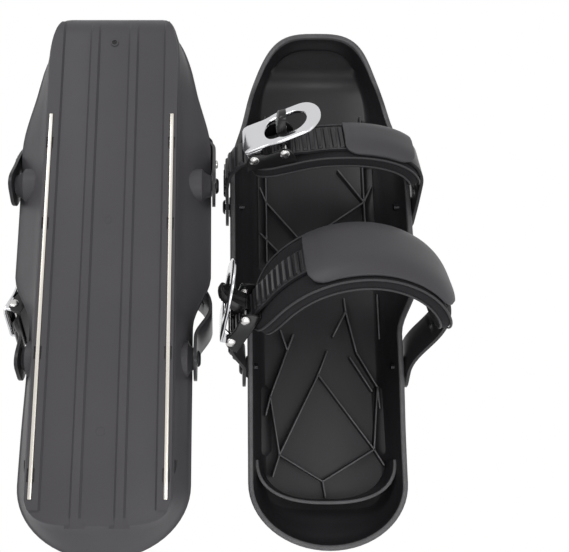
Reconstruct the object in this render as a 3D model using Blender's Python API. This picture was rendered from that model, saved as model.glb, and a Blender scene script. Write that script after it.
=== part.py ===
"""A pair of mini skiboards with ratchet strap bindings.

The left board stands on its running surface, seen into its tray. The right board is its
mirror image and lies upside down beside it, resting on its straps. Both point along +Y,
+Z is up, and the floor is z = 0. All sizes are in metres, written as millimetres x MM.
"""
import math

import bmesh
import bpy
from mathutils import Matrix, Vector

MM = 0.001
GAP = 0.3 * MM

# Plan of the board, from its own middle
TIP_Y = 222.0 * MM
TAIL_Y = -210.0 * MM
NOSE_CAP = 72.0 * MM
TAIL_CAP = 50.0 * MM
TAIL_HALF = 62.3 * MM
WAIST_HALF = 75.9 * MM
SHOULDER_HALF = 63.5 * MM
NOSE_HALF = 51.0 * MM
HEEL_TAPER_START = -44.0 * MM
HEEL_TAPER_END = -4.0 * MM
NOSE_TAPER_START = 96.0 * MM
SHOULDER_Y = 150.0 * MM
BASE_HALF = 51.5 * MM
BASE_NOSE_CAP = 66.0 * MM
BASE_TAIL_CAP = 36.0 * MM
BASE_TAIL_INSET = 24.0 * MM

# Heights of the rim over the runners
TAIL_RIM = 30.0 * MM
HEEL_RIM = 33.0 * MM
BINDING_RIM = 39.0 * MM
SHOULDER_RIM = 30.0 * MM
BEND_RIM = 31.5 * MM
TIP_RIM = 45.0 * MM
RIM_FALL = 19.0 * MM

# Shell section
PANEL_LIFT = 2.2 * MM
KEEL_LIFT = 0.5 * MM
FLOOR = 2.6 * MM
WALL = 3.0 * MM
LIP_OUT = 1.5 * MM
LIP_DEPTH = 4.6 * MM
LIP_WIDTH = 4.2 * MM
LIP_ROUND = 0.8 * MM
BOTTOM_ROUND = 2.4 * MM
NOSE_BEND_Y = 185.0 * MM
NOSE_BEND_RADIUS = 22.0 * MM
NOSE_SLOPE = math.radians(58.0)

# Keels, rails and runner strips under the base
RIDGE_X = 15.1 * MM
RIDGE_TOP = 2.6 * MM
RIDGE_ROOT = 4.6 * MM
RIDGE_TAIL_Y = -180.0 * MM
RIDGE_NOSE_Y = 204.0 * MM
RIDGE_RAMP = 7.0 * MM
RAIL_WIDTH = 11.2 * MM
RAIL_INNER_X = BASE_HALF - RAIL_WIDTH
RAIL_SLOPE = 1.8 * MM
RAIL_EDGE = 0.8 * MM
RAIL_TAIL_Y = -175.0 * MM
RAIL_NOSE_WIDTH = 4.0 * MM
RUNNER_INSET = 5.3 * MM
RUNNER_X = BASE_HALF - RUNNER_INSET
RUNNER_WIDTH = 2.6 * MM
RUNNER_THICK = 1.5 * MM
RUNNER_NOSE_Y = 115.6 * MM
RUNNER_TAIL_Y = -168.0 * MM
CLIP_YS = (92.0 * MM, 28.0 * MM, -68.0 * MM, -152.0 * MM)
CLIP_LENGTH = 9.0 * MM
CLIP_WIDTH = 5.4 * MM
CLIP_DEPTH = 3.5 * MM
CLIP_LUG = 6.0 * MM
NOSE_HOLE_Y = 177.0 * MM
NOSE_HOLE_RADIUS = 1.7 * MM
NOSE_RING_RADIUS = 3.3 * MM
NOSE_RING_LIFT = 0.8 * MM

# Ribs on the tray floor: their plan in millimetres, drawn for a base of this half width
RIB_PLAN_HALF = 51.5
RIB_WIDTH = 2.0 * MM
RIB_HEIGHT = 7.0 * MM
RIB_NODES = {
    "a": (-35.9, -138.5), "b": (-1.6, -159.3), "c": (40.9, -134.2), "d": (-2.7, -73.8),
    "e": (-42.7, -91.7), "f": (46.0, -84.0), "g": (22.2, -20.7), "h": (-27.9, -53.6),
    "i": (-43.9, 77.1), "j": (10.1, 55.7), "k": (42.0, 77.4), "a2": (-41.5, -155.0),
    "b2": (0.1, -171.0), "c2": (48.0, -146.0), "d2": (5.2, -54.6), "e2": (-46.5, -106.2),
    "h2": (-33.1, -37.1), "h3": (-22.7, -40.5), "g2": (21.2, -9.8), "g3": (10.8, -41.3),
    "g4": (30.0, -55.6), "f2": (47.0, -100.5), "s": (24.4, -59.7), "s2": (41.0, -86.8),
    "i0": (-43.9, 158.0), "i2": (-49.0, 90.2), "i3": (-16.1, 44.0), "l": (-49.0, 48.5),
    "l2": (-29.8, 27.4), "i4": (-43.9, 24.0), "k0": (42.0, 158.0), "k2": (20.4, 106.7),
    "k3": (49.0, 92.0), "k4": (42.0, 54.8), "m": (49.4, -6.3), "m2": (49.4, -43.0),
}
RIB_LINES = (
    "a b", "b c", "a d", "a e", "a a2", "b b2", "c f", "c d", "c c2", "d d2", "e e2", "e h",
    "h h2", "h h3", "g g2", "g g3", "g g4", "g4 f", "f f2", "s s2", "i i0", "i i2", "i i3",
    "i i4", "l l2", "j k", "k k0", "k k2", "k k3", "k k4", "m m2",
)
HEEL_Y = -175.0 * MM
HEEL_HALF = BASE_HALF - 1.0 * MM
HEEL_DEPTH = 33.0 * MM
HEEL_WIDTH = 3.4 * MM
HEEL_TOP = 22.0 * MM

# Strap pivots
ANKLE_Y = -69.0 * MM
TOE_Y = 67.0 * MM
PIVOT_Z = 28.0 * MM
ANKLE_STAND = 4.0 * MM
TOE_STAND = 7.5 * MM
BOSS_RADIUS = 8.5 * MM
BOSS_ROOT = 7.0 * MM
CUT_PAST = 3.0 * MM
FLAT_ANGLE = 0.2
SCREW_RADIUS = 2.6 * MM
SCREW_CLEARANCE = 0.3 * MM
SCREW_HEAD_RADIUS = 6.2 * MM
SCREW_HEAD = 2.4 * MM

# Strap layers, counted outward from the outer face of the pad
STRAP_TAIL = 14.0 * MM
HUB = 8.0 * MM
LADDER_THICK = 2.6 * MM
LADDER_HALF = 14.0 * MM
LADDER_LIFT = 1.8 * MM
TOOTH_HEIGHT = 1.3 * MM
TOOTH_PITCH = 5.6 * MM
TOOTH_START = 20.0 * MM
ADJUSTER_THICK = 2.5 * MM
ADJUSTER_HALF = 15.0 * MM
PAD_THICK = 11.0 * MM
PAD_EDGE_THICK = 6.5 * MM
COVER_THICK = 1.8 * MM
COVER_CENTRE_LIFT = 6.4 * MM
COVER_EDGE_LIFT = 0.4 * MM
COVER_OVERHANG = 0.8 * MM
HOLE_RADIUS = 1.9 * MM
HOLE_PITCH = 8.5 * MM
PAD_SCREW_RADIUS = 3.6 * MM
PAD_SCREW_HEAD = 1.5 * MM
PAD_SCREW_SHANK = 1.6 * MM

# Ratchet buckle, in its own frame: x along the strap, y across it, z outward
FRAME_HALF_LENGTH = 19.5 * MM
FRAME_HALF_WIDTH = 19.8 * MM
CHEEK = 2.5 * MM
CHEEK_HEIGHT = 13.3 * MM
FRAME_FLOOR = 1.3 * MM
PIN_SPACING = 24.0 * MM
PIN_HEIGHT = 9.5 * MM
PIN_RADIUS = 1.8 * MM
PIN_CLEARANCE = 0.3 * MM
RIVET_HEAD_RADIUS = 3.9 * MM
RIVET_HEAD = 1.3 * MM
LEVER_EAR_RADIUS = 4.0 * MM
LEVER_EAR = 2.3 * MM
LEVER_LIFT = 5.0 * MM
LEVER_THICK = 3.0 * MM
LEVER_LENGTH = 58.0 * MM
LEVER_HEEL = 6.5 * MM
LEVER_SIDE_GAP = 0.5 * MM
LEVER_FLARE = 2.7 * MM
LEVER_ROOT_HALF = FRAME_HALF_WIDTH - CHEEK - LEVER_SIDE_GAP
LEVER_END_HALF = LEVER_ROOT_HALF + LEVER_FLARE
LEVER_HOLE_START = 12.0 * MM
LEVER_HOLE_END = 47.0 * MM
LEVER_RIM = 5.0 * MM
LEVER_HOLE_HALF = LEVER_ROOT_HALF - LEVER_RIM
TAB_SIDE_ROOM = 5.5 * MM
TAB_HALF = LEVER_ROOT_HALF - LEVER_EAR - TAB_SIDE_ROOM
TAB_BARREL = 3.3 * MM
TAB_HEIGHT = 24.0 * MM
TAB_THICK = 3.4 * MM
SPRING_RADIUS = 2.9 * MM
SPRING_WIRE = 0.45 * MM
SPRING_PITCH = 1.4 * MM
SPRING_TURNS = 3

# Lines of the straps, from the board's middle and from the pivot line
HANDLE_SHARE = 0.37
BUCKLE_MARGIN = 1.5 * MM
ANKLE_BUCKLE_IN = 1.0 * MM
ANKLE_BUCKLE_Z = 51.3 * MM
ANKLE_TOP_X = 20.0 * MM
ANKLE_TOP_Z = 117.0 * MM
ANKLE_SIDE_OUT = 21.0 * MM
ANKLE_SIDE_Z = 64.0 * MM
TIGHT_BUCKLE_OUT = 1.9 * MM
TIGHT_BUCKLE_Z = 55.8 * MM
TIGHT_TOP_Z = 85.0 * MM
TIGHT_SIDE_OUT = 11.0 * MM
TIGHT_SIDE_Z = 40.0 * MM
TIGHT_SWAY = 10.0 * MM
TOE_BUCKLE_IN = 33.0 * MM
TOE_BUCKLE_Z = 59.9 * MM
TOE_TOP_X = 16.0 * MM
TOE_TOP_Z = 70.5 * MM
TOE_SIDE_IN = 0.6 * MM
TOE_SIDE_Z = 37.0 * MM
ANKLE_PAD_HALF = 35.0 * MM
TIGHT_PAD_HALF = 31.0 * MM
TOE_PAD_HALF = 21.0 * MM

# Placing of the two boards
BUCKLE_ROOM = 13.75 * MM

COLOURS = {
    "shell_plastic": ((0.055, 0.053, 0.056), 0.55, 0.0),
    "runner_steel": ((0.78, 0.76, 0.71), 0.32, 1.0),
    "strap_plastic": ((0.020, 0.020, 0.022), 0.42, 0.0),
    "pad_foam": ((0.028, 0.027, 0.029), 0.85, 0.0),
    "cover_leather": ((0.060, 0.058, 0.062), 0.60, 0.0),
    "buckle_plastic": ((0.012, 0.012, 0.013), 0.25, 0.0),
    "lever_chrome": ((0.80, 0.80, 0.82), 0.12, 1.0),
    "rivet_steel": ((0.66, 0.65, 0.63), 0.30, 1.0),
    "screw_black": ((0.018, 0.018, 0.019), 0.38, 1.0),
}


class Arch:
    """The line of a strap over the boot, in its own plane: x across the board, z outward.

    Knots are (x, z, direction in degrees), outer pivot first. Sway is how far the strap
    bends aside, along y, where it runs through its buckle.
    """

    def __init__(self, pivot_half, knots, sway=0.0, steps=14):
        self.sway = sway
        first = ((-pivot_half, -STRAP_TAIL, 90.0), (-pivot_half, HUB, 90.0))
        last = ((pivot_half, HUB, -90.0), (pivot_half, -STRAP_TAIL, -90.0))
        self.knots = first + tuple(knots) + last
        self.points = []
        self.marks = []
        for start, end in zip(self.knots, self.knots[1:]):
            self.marks.append(len(self.points))
            self.points.extend(self._curve(start, end, steps))
        self.marks.append(len(self.points))
        self.points.append(Vector((self.knots[-1][0], 0, self.knots[-1][1])))
        self.lengths = [0.0]
        for a, b in zip(self.points, self.points[1:]):
            self.lengths.append(self.lengths[-1] + (b - a).length)
        self.knot_lengths = [self.lengths[index] for index in self.marks]
        self.total = self.lengths[-1]

    @staticmethod
    def _curve(start, end, steps):
        a = Vector((start[0], 0, start[1]))
        d = Vector((end[0], 0, end[1]))
        leave = math.radians(start[2])
        arrive = math.radians(end[2])
        handle = HANDLE_SHARE * (d - a).length
        b = a + handle * Vector((math.cos(leave), 0, math.sin(leave)))
        c = d - handle * Vector((math.cos(arrive), 0, math.sin(arrive)))
        curve = []
        for step in range(steps):
            t = step / steps
            u = 1 - t
            curve.append(u ** 3 * a + 3 * u * u * t * b + 3 * u * t * t * c + t ** 3 * d)
        return curve

    def place(self, length):
        """Point and unit tangent at a length along the arch."""
        length = min(max(length, 0.0), self.total)
        index = 1
        while index < len(self.lengths) - 1 and self.lengths[index] < length:
            index += 1
        a = self.points[index - 1]
        b = self.points[index]
        share = (length - self.lengths[index - 1]) / (self.lengths[index] - self.lengths[index - 1])
        before = self._tangent(index - 1)
        after = self._tangent(index)
        return a.lerp(b, share), before.lerp(after, share).normalized()

    def _tangent(self, index):
        low = max(index - 1, 0)
        high = min(index + 1, len(self.points) - 1)
        return (self.points[high] - self.points[low]).normalized()

    def at(self, length, across, out):
        """A point off the arch: across is along the strap's width, out is outward."""
        point, tangent = self.place(length)
        normal = Vector((-tangent.z, 0, tangent.x))
        return point + normal * out + Vector((0, across + self.aside(length), 0))

    def aside(self, length):
        """How far the strap's middle is moved aside at a length along it."""
        hub, start, end, apex = self.knot_lengths[1:5]
        return self.sway * (eased(length, hub, start) - eased(length, end, apex))


class Board:
    """Everything that tells one board of the pair from the other."""

    def __init__(self, side, x, base_z, upside_down):
        self.side = side
        self.sign = -1 if upside_down else 1
        self.root = empty(side + "_board_place", None, (x, 0, base_z))


def empty(name, parent, location, rotation=(0, 0, 0)):
    holder = bpy.data.objects.new(name, None)
    bpy.context.scene.collection.objects.link(holder)
    holder.parent = parent
    holder.location = location
    holder.rotation_euler = rotation
    return holder


def pivot(board, name, parent, location, rotation=(0, 0, 0)):
    """An empty inside a board; upside down, its height and its turns change sign."""
    x, y, z = location
    turn = [board.sign * angle for angle in rotation]
    return empty(board.side + "_" + name, parent, (x, y, board.sign * z), turn)


def material(slot):
    found = bpy.data.materials.get(slot)
    if found:
        return found
    colour, roughness, metallic = COLOURS[slot]
    made = bpy.data.materials.new(slot)
    made.use_nodes = True
    shader = made.node_tree.nodes["Principled BSDF"]
    shader.inputs["Base Color"].default_value = (*colour, 1)
    shader.inputs["Roughness"].default_value = roughness
    shader.inputs["Metallic"].default_value = metallic
    return made


def finish(board, name, mesh, slot, parent):
    """Turn a bmesh into an object of the board, mirrored in height if it is upside down."""
    if board.sign < 0:
        bmesh.ops.transform(mesh, matrix=Matrix.Scale(-1, 4, (0, 0, 1)), verts=mesh.verts)
        bmesh.ops.reverse_faces(mesh, faces=mesh.faces)
    data = bpy.data.meshes.new(name)
    mesh.to_mesh(data)
    mesh.free()
    data.shade_smooth()
    data.set_sharp_from_angle(angle=math.radians(35))
    made = bpy.data.objects.new(board.side + "_" + name, data)
    bpy.context.scene.collection.objects.link(made)
    made.parent = parent
    if slot:
        data.materials.append(material(slot))
    return made


def cutter(board, name, mesh, parent):
    made = finish(board, name, mesh, None, parent)
    made.hide_render = True
    made.display_type = "WIRE"
    return made


def combine(target, tool, operation, self_crossing=False):
    change = target.modifiers.new(tool.name, "BOOLEAN")
    change.operation = operation
    change.solver = "EXACT"
    change.use_self = self_crossing
    change.object = tool


def loft(rings, mesh=None):
    """One closed body through rings of as many points each, capped at both ends."""
    mesh = mesh or bmesh.new()
    rows = [[mesh.verts.new(point) for point in ring] for ring in rings]
    faces = []
    for low, high in zip(rows, rows[1:]):
        for index in range(len(low)):
            following = (index + 1) % len(low)
            faces.append(mesh.faces.new((low[index], low[following], high[following], high[index])))
    faces.append(mesh.faces.new(rows[0]))
    faces.append(mesh.faces.new(rows[-1]))
    bmesh.ops.recalc_face_normals(mesh, faces=faces)
    bmesh.ops.triangulate(mesh, faces=faces)
    return mesh


def box(low, high, mesh=None):
    mesh = mesh or bmesh.new()
    centre = (Vector(low) + Vector(high)) / 2
    size = Vector(high) - Vector(low)
    place = Matrix.Translation(centre) @ Matrix.Diagonal((*size, 1))
    bmesh.ops.create_cube(mesh, size=1, matrix=place)
    return mesh


def turned(profile, axis, centre, sides, mesh=None):
    """A closed round body: profile is (distance along the axis, radius) from end to end."""
    turn = Vector((0, 0, 1)).rotation_difference(Vector(axis)).to_matrix()
    rings = []
    for along, radius in profile:
        ring = []
        for side in range(sides):
            angle = 2 * math.pi * side / sides
            spoke = Vector((radius * math.cos(angle), radius * math.sin(angle), along))
            ring.append(Vector(centre) + turn @ spoke)
        rings.append(ring)
    return loft(rings, mesh)


def eased(value, low, high):
    share = min(max((value - low) / (high - low), 0.0), 1.0)
    return share * share * (3 - 2 * share)


def along_table(table, y):
    """A smooth value between the rows (y, value) of a short table, level at none of them."""
    if y <= table[0][0]:
        return table[0][1]
    if y >= table[-1][0]:
        return table[-1][1]
    index = next(i for i in range(1, len(table)) if y <= table[i][0])
    (y0, v0), (y1, v1) = table[index - 1], table[index]
    before = table[max(index - 2, 0)]
    after = table[min(index + 1, len(table) - 1)]
    slope0 = (v1 - before[1]) / (y1 - before[0]) if index > 1 else 0.0
    slope1 = (after[1] - v0) / (after[0] - y0) if index < len(table) - 1 else 0.0
    span = y1 - y0
    t = (y - y0) / span
    keep = 2 * t ** 3 - 3 * t ** 2 + 1
    return (keep * v0 + (t ** 3 - 2 * t ** 2 + t) * span * slope0
            + (1 - keep) * v1 + (t ** 3 - t ** 2) * span * slope1)


def rim_half(y):
    heel = TAIL_HALF + (WAIST_HALF - TAIL_HALF) * eased(y, HEEL_TAPER_START, HEEL_TAPER_END)
    front = ((NOSE_TAPER_START, WAIST_HALF), (SHOULDER_Y, SHOULDER_HALF), (TIP_Y, NOSE_HALF))
    return heel if y < NOSE_TAPER_START else along_table(front, y)


def wall_at_pivot(y):
    """The wall's outer face at the height of the strap pivots."""
    return BASE_HALF + (rim_half(y) - BASE_HALF) * PIVOT_Z / rim_height(y)


def pivot_half(y, stand):
    """Half the distance between a strap's two inner faces at its pivots."""
    return wall_at_pivot(y) + stand


def rim_height(y):
    return along_table(
        ((TAIL_Y, TAIL_RIM), ((TAIL_Y + HEEL_TAPER_START) / 2, HEEL_RIM), (ANKLE_Y, BINDING_RIM),
         (NOSE_TAPER_START - RIM_FALL, BINDING_RIM), (SHOULDER_Y, SHOULDER_RIM),
         (NOSE_BEND_Y, BEND_RIM), (TIP_Y, TIP_RIM)), y)


def nose_curl(y):
    """How far the running surface has curled up at y."""
    bend = NOSE_BEND_RADIUS * math.sin(NOSE_SLOPE)
    run = y - NOSE_BEND_Y
    if run <= 0:
        return 0.0
    if run < bend:
        return NOSE_BEND_RADIUS - math.sqrt(NOSE_BEND_RADIUS ** 2 - run ** 2)
    return NOSE_BEND_RADIUS * (1 - math.cos(NOSE_SLOPE)) + (run - bend) * math.tan(NOSE_SLOPE)


def floor_rise(y):
    """The tray floor's height over the panels, thicker by its slope on the nose."""
    bend = NOSE_BEND_RADIUS * math.sin(NOSE_SLOPE)
    run = min(max(y - NOSE_BEND_Y, 0.0), bend)
    return FLOOR / math.cos(math.asin(run / NOSE_BEND_RADIUS))


def cap_point(angle, half, length, power):
    return half * math.sin(angle) ** (2 / power), length * math.cos(angle) ** (2 / power)


def spread(low, high, parts):
    """Evenly spaced places from low to high, both included."""
    return [low + (high - low) * step / parts for step in range(parts + 1)]


def half_plan():
    """Matched points of the rim and of the base, tail to nose, on the +x side."""
    rim = []
    base = []
    for degrees in (0, 12, 24, 37, 50, 63, 77, 90):
        angle = math.radians(degrees)
        x, reach = cap_point(angle, TAIL_HALF, TAIL_CAP, 2)
        rim.append(Vector((x, TAIL_Y + TAIL_CAP - reach, 0)))
        x, reach = cap_point(angle, BASE_HALF, BASE_TAIL_CAP, 4)
        base.append(Vector((x, TAIL_Y + BASE_TAIL_INSET + BASE_TAIL_CAP - reach, 0)))
    straight = spread(TAIL_Y + TAIL_CAP, HEEL_TAPER_START, 4)[1:]
    straight += spread(HEEL_TAPER_START, HEEL_TAPER_END, 4)[1:]
    straight += spread(HEEL_TAPER_END, NOSE_TAPER_START, 4)[1:]
    straight += spread(NOSE_TAPER_START, TIP_Y - NOSE_CAP, 3)[1:-1]
    for y in straight:
        rim.append(Vector((rim_half(y), y, 0)))
        base.append(Vector((BASE_HALF, y, 0)))
    for degrees in (90, 76, 63, 51, 40, 30, 20, 10, 0):
        angle = math.radians(degrees)
        share, reach = cap_point(angle, 1.0, NOSE_CAP, 3)
        y = TIP_Y - NOSE_CAP + reach
        rim.append(Vector((share * rim_half(y), y, 0)))
        x, reach = cap_point(angle, BASE_HALF, BASE_NOSE_CAP, 3)
        base.append(Vector((x, TIP_Y - NOSE_CAP + reach, 0)))
    return rim, base


def inset(outline, distance):
    """A half outline moved inward, square to its own line."""
    moved = []
    for index, point in enumerate(outline):
        before = outline[index - 1] if index else Vector((-outline[1].x, outline[1].y, 0))
        if index < len(outline) - 1:
            after = outline[index + 1]
        else:
            after = Vector((-outline[-2].x, outline[-2].y, 0))
        tangent = (after - before).normalized()
        inward = Vector((-tangent.y, tangent.x, 0))
        moved.append(point + inward * distance)
    moved[0].x = 0
    moved[-1].x = 0
    return moved


def whole_ring(half):
    """A closed ring: the +x half from tail to tip, and its mirror image back."""
    return [point.copy() for point in half] + [
        Vector((-point.x, point.y, point.z)) for point in reversed(half[1:-1])]


def shell_rings():
    """The rings of the tray: from under the base, over the lip, down to the floor."""
    rim, base = half_plan()

    def raised(points, height):
        return whole_ring([Vector((p.x, p.y, height(p.y))) for p in points])

    def wall(share, thickness):
        low = inset(base, thickness)
        high = inset(rim, thickness + LIP_OUT)
        points = []
        for a, b in zip(low, high):
            z0 = PANEL_LIFT + nose_curl(a.y) + BOTTOM_ROUND
            z1 = rim_height(b.y) - LIP_DEPTH
            points.append(Vector((*a.lerp(b, share).xy, z0 + (z1 - z0) * share)))
        return whole_ring(points)

    return [
        raised(inset(base, BOTTOM_ROUND), lambda y: PANEL_LIFT + nose_curl(y)),
        raised(base, lambda y: PANEL_LIFT + nose_curl(y) + BOTTOM_ROUND * 0.7),
        wall(0.5, 0.0),
        wall(1.0, 0.0),
        raised(rim, lambda y: rim_height(y) - LIP_DEPTH + LIP_OUT * 0.6),
        raised(rim, lambda y: rim_height(y) - LIP_ROUND),
        raised(inset(rim, LIP_ROUND), rim_height),
        raised(inset(rim, LIP_WIDTH - LIP_ROUND), rim_height),
        raised(inset(rim, LIP_WIDTH), lambda y: rim_height(y) - LIP_ROUND),
        wall(0.55, WALL),
        raised(inset(base, WALL + LIP_ROUND),
               lambda y: PANEL_LIFT + nose_curl(y) + floor_rise(y) + BOTTOM_ROUND),
        raised(inset(base, WALL + BOTTOM_ROUND),
               lambda y: PANEL_LIFT + nose_curl(y) + floor_rise(y)),
    ]


def fill_across(mesh, ring):
    """Close a mirrored ring with faces that run straight across the board."""
    count = len(ring)
    half = count // 2
    mesh.faces.new((ring[0], ring[1], ring[count - 1]))
    for index in range(1, half - 1):
        mesh.faces.new((ring[index], ring[index + 1], ring[count - index - 1], ring[count - index]))
    mesh.faces.new((ring[half - 1], ring[half], ring[half + 1]))


def tray():
    mesh = bmesh.new()
    rows = [[mesh.verts.new(point) for point in ring] for ring in shell_rings()]
    for low, high in zip(rows, rows[1:]):
        for index in range(len(low)):
            following = (index + 1) % len(low)
            mesh.faces.new((low[index], low[following], high[following], high[index]))
    fill_across(mesh, rows[0])
    fill_across(mesh, rows[-1])
    bmesh.ops.recalc_face_normals(mesh, faces=mesh.faces)
    bmesh.ops.triangulate(mesh, faces=mesh.faces)
    return mesh


def keel_section(y, left_root, left_top, right_top, right_root, lift):
    """A low trapezium under the base at y, sunk into the shell at its root."""
    root = PANEL_LIFT + nose_curl(y) + FLOOR * 0.4
    top = KEEL_LIFT + nose_curl(y) + lift
    return [Vector((left_root, y, root)), Vector((left_top, y, top)),
            Vector((right_top, y, top)), Vector((right_root, y, root))]


def lengthwise(tail, nose):
    """Places along the board, closer together where the nose curls."""
    bend = NOSE_BEND_RADIUS * math.sin(NOSE_SLOPE)
    steps = [tail, NOSE_BEND_Y]
    steps += [NOSE_BEND_Y + bend * share for share in (0.35, 0.6, 0.8) if NOSE_BEND_Y + bend * share < nose]
    return steps + [nose]


def ridge(side, mesh):
    centre = side * RIDGE_X
    rings = []
    sunk = PANEL_LIFT - KEEL_LIFT + 0.3 * MM
    ramp_foot = RIDGE_TAIL_Y - RIDGE_RAMP
    rings.append(keel_section(ramp_foot, centre - RIDGE_ROOT, centre - RIDGE_TOP,
                              centre + RIDGE_TOP, centre + RIDGE_ROOT, sunk))
    for y in lengthwise(RIDGE_TAIL_Y, RIDGE_NOSE_Y):
        rings.append(keel_section(y, centre - RIDGE_ROOT, centre - RIDGE_TOP,
                                  centre + RIDGE_TOP, centre + RIDGE_ROOT, 0.0))
    loft(rings, mesh)


def base_half(y):
    """Half the base's width at y, where the nose rounds it off."""
    start = TIP_Y - NOSE_CAP
    if y <= start:
        return BASE_HALF
    return BASE_HALF * (1 - ((y - start) / BASE_NOSE_CAP) ** 3) ** (1 / 3)


def rail(side, mesh):
    rings = []
    nose_share = (1 - ((RAIL_INNER_X + RAIL_NOSE_WIDTH) / BASE_HALF) ** 3) ** (1 / 3)
    nose_start = TIP_Y - NOSE_CAP
    nose_end = nose_start + BASE_NOSE_CAP * nose_share
    places = sorted(lengthwise(RAIL_TAIL_Y, nose_end)
                    + [nose_start + BASE_NOSE_CAP * nose_share * share for share in (0.1, 0.5)])
    for y in places:
        outer = base_half(y) - RAIL_EDGE
        if y == RAIL_TAIL_Y:
            outer -= 2.5 * MM
        rings.append(keel_section(y, side * (RAIL_INNER_X - RAIL_SLOPE), side * RAIL_INNER_X,
                                  side * (outer - RAIL_EDGE), side * outer, 0.0))
    loft(rings, mesh)


def rib_point(key):
    """A point of the rib plan, fitted to the width of the base."""
    x, y = RIB_NODES[key]
    return Vector((x * BASE_HALF / RIB_PLAN_HALF, y * MM, 0))


def rib_network(mesh):
    """The raised ribs of the tray floor as crossing bars, sunk into the floor."""
    low = PANEL_LIFT + FLOOR * 0.6
    high = PANEL_LIFT + FLOOR + RIB_HEIGHT
    for line in RIB_LINES:
        start, end = (rib_point(key) for key in line.split())
        along = (end - start).normalized()
        side = Vector((-along.y, along.x, 0)) * RIB_WIDTH / 2
        start = start - along * RIB_WIDTH / 2
        end = end + along * RIB_WIDTH / 2
        rings = []
        for z in (low, high):
            lift = Vector((0, 0, z))
            rings.append([start - side + lift, end - side + lift, end + side + lift, start + side + lift])
        loft(rings, mesh)


def heel_ridge(mesh):
    """The low curved wall behind the heel, its ends sunk into the side walls."""
    rings = []
    for degrees in range(-90, 91, 15):
        angle = math.radians(degrees)
        x = HEEL_HALF * math.copysign(abs(math.sin(angle)) ** 0.8, angle)
        y = HEEL_Y + HEEL_DEPTH * (1 - math.cos(angle) ** 0.8)
        out = Vector((math.sin(angle), -math.cos(angle), 0)) * HEEL_WIDTH / 2
        middle = Vector((x, y, 0))
        low = Vector((0, 0, PANEL_LIFT + FLOOR * 0.6))
        top = Vector((0, 0, HEEL_TOP))
        rings.append([middle + out + low, middle + out + top, middle - out + top, middle - out + low])
    loft(rings, mesh)


def runner_bar(side):
    """A thin steel strip with a lug over each clip window."""
    centre = side * RUNNER_X
    half = RUNNER_WIDTH / 2
    stations = [(RUNNER_TAIL_Y, RUNNER_THICK)]
    for y in sorted(CLIP_YS):
        for edge, top in ((-1, RUNNER_THICK), (-1, RUNNER_THICK + 1.4 * MM),
                          (1, RUNNER_THICK + 1.4 * MM), (1, RUNNER_THICK)):
            nudge = 0.2 * MM if top > RUNNER_THICK else 0.0
            stations.append((y + edge * (CLIP_LUG / 2 - nudge), top))
    stations.append((RUNNER_NOSE_Y, RUNNER_THICK))
    rings = []
    for y, top in stations:
        rings.append([Vector((centre - half, y, 0)), Vector((centre + half, y, 0)),
                      Vector((centre + half, y, top)), Vector((centre - half, y, top))])
    return loft(rings)


def strap_section(arch, length, half, inner, outer, columns, inner_crown=0.0, outer_drop=0.0, power=2):
    """A section across a strap: flat, or crowned towards the boot and rounded off outside."""
    ring = []
    for column in range(columns + 1):
        share = 2 * column / columns - 1
        ring.append(arch.at(length, share * half, inner + inner_crown * abs(share) ** power))
    for column in range(columns, -1, -1):
        share = 2 * column / columns - 1
        ring.append(arch.at(length, share * half, outer - outer_drop * abs(share) ** power))
    return ring


def rounded_end(length, start, end, radius):
    """A share of full width that rounds off within radius of each end."""
    near = min(length - start, end - length)
    if near >= radius:
        return 1.0
    return math.sqrt(max(1 - (1 - near / radius) ** 2, 0.0))


def ladder_strap(arch, cover_start):
    """The toothed strap: smooth at its pivot, toothed from there until under the cover."""
    end = cover_start + 16 * MM
    pivot_length = STRAP_TAIL
    frame_start = arch.knot_lengths[2]
    frame_end = arch.knot_lengths[3]

    def lift(length):
        up = eased(length, frame_start - 9 * MM, frame_start - 1 * MM)
        down = eased(length, frame_end, frame_end + 9 * MM)
        return GAP + (LADDER_LIFT - GAP) * (up - down)

    places = [(length, 0.0) for length in (0.0, 1.5 * MM, 5 * MM, STRAP_TAIL * 0.7, STRAP_TAIL)]
    length = pivot_length + TOOTH_START * 0.5
    places.append((length, 0.0))
    length = pivot_length + TOOTH_START
    while length < end - TOOTH_PITCH:
        places.append((length, 0.0))
        places.append((length + TOOTH_PITCH * 0.7, TOOTH_HEIGHT))
        length += TOOTH_PITCH * 0.85
        places.append((length, 0.0))
        length += TOOTH_PITCH * 0.15
    places.append((end, 0.0))
    rings = []
    for length, tooth in places:
        half = LADDER_HALF * (0.45 + 0.55 * rounded_end(length, 0, 10, STRAP_TAIL * 0.8))
        low = lift(length)
        rings.append(strap_section(arch, length, half, low, low + LADDER_THICK + tooth, 1))
    return loft(rings)


def adjuster_strap(arch, top_length):
    """The flat perforated strap on the other side, up to under the cover."""
    rings = []
    start = top_length
    span = arch.total - start
    for step in range(15):
        length = start + span * step / 14
        half = ADJUSTER_HALF * (0.45 + 0.55 * rounded_end(length, start, arch.total, STRAP_TAIL * 0.8))
        rings.append(strap_section(arch, length, half, GAP, GAP + ADJUSTER_THICK, 1))
    return loft(rings)


def pad_body(arch, start, end, half_width, steps=16):
    """The foam pad: crowned towards the boot, thin at its sides, round at its ends."""
    rings = []
    for step in range(steps + 1):
        share = step / steps
        length = start + (end - start) * (0.5 - 0.5 * math.cos(math.pi * share))
        width = half_width * (0.35 + 0.65 * rounded_end(length, start, end, half_width * 0.95))
        depth = 0.5 + 0.5 * rounded_end(length, start, end, 8 * MM)
        inner = -GAP - PAD_THICK * depth
        crown = (PAD_THICK - PAD_EDGE_THICK) * depth
        rings.append(strap_section(arch, length, width, inner, -GAP, 6, crown, 0.0))
    return loft(rings)


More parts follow.
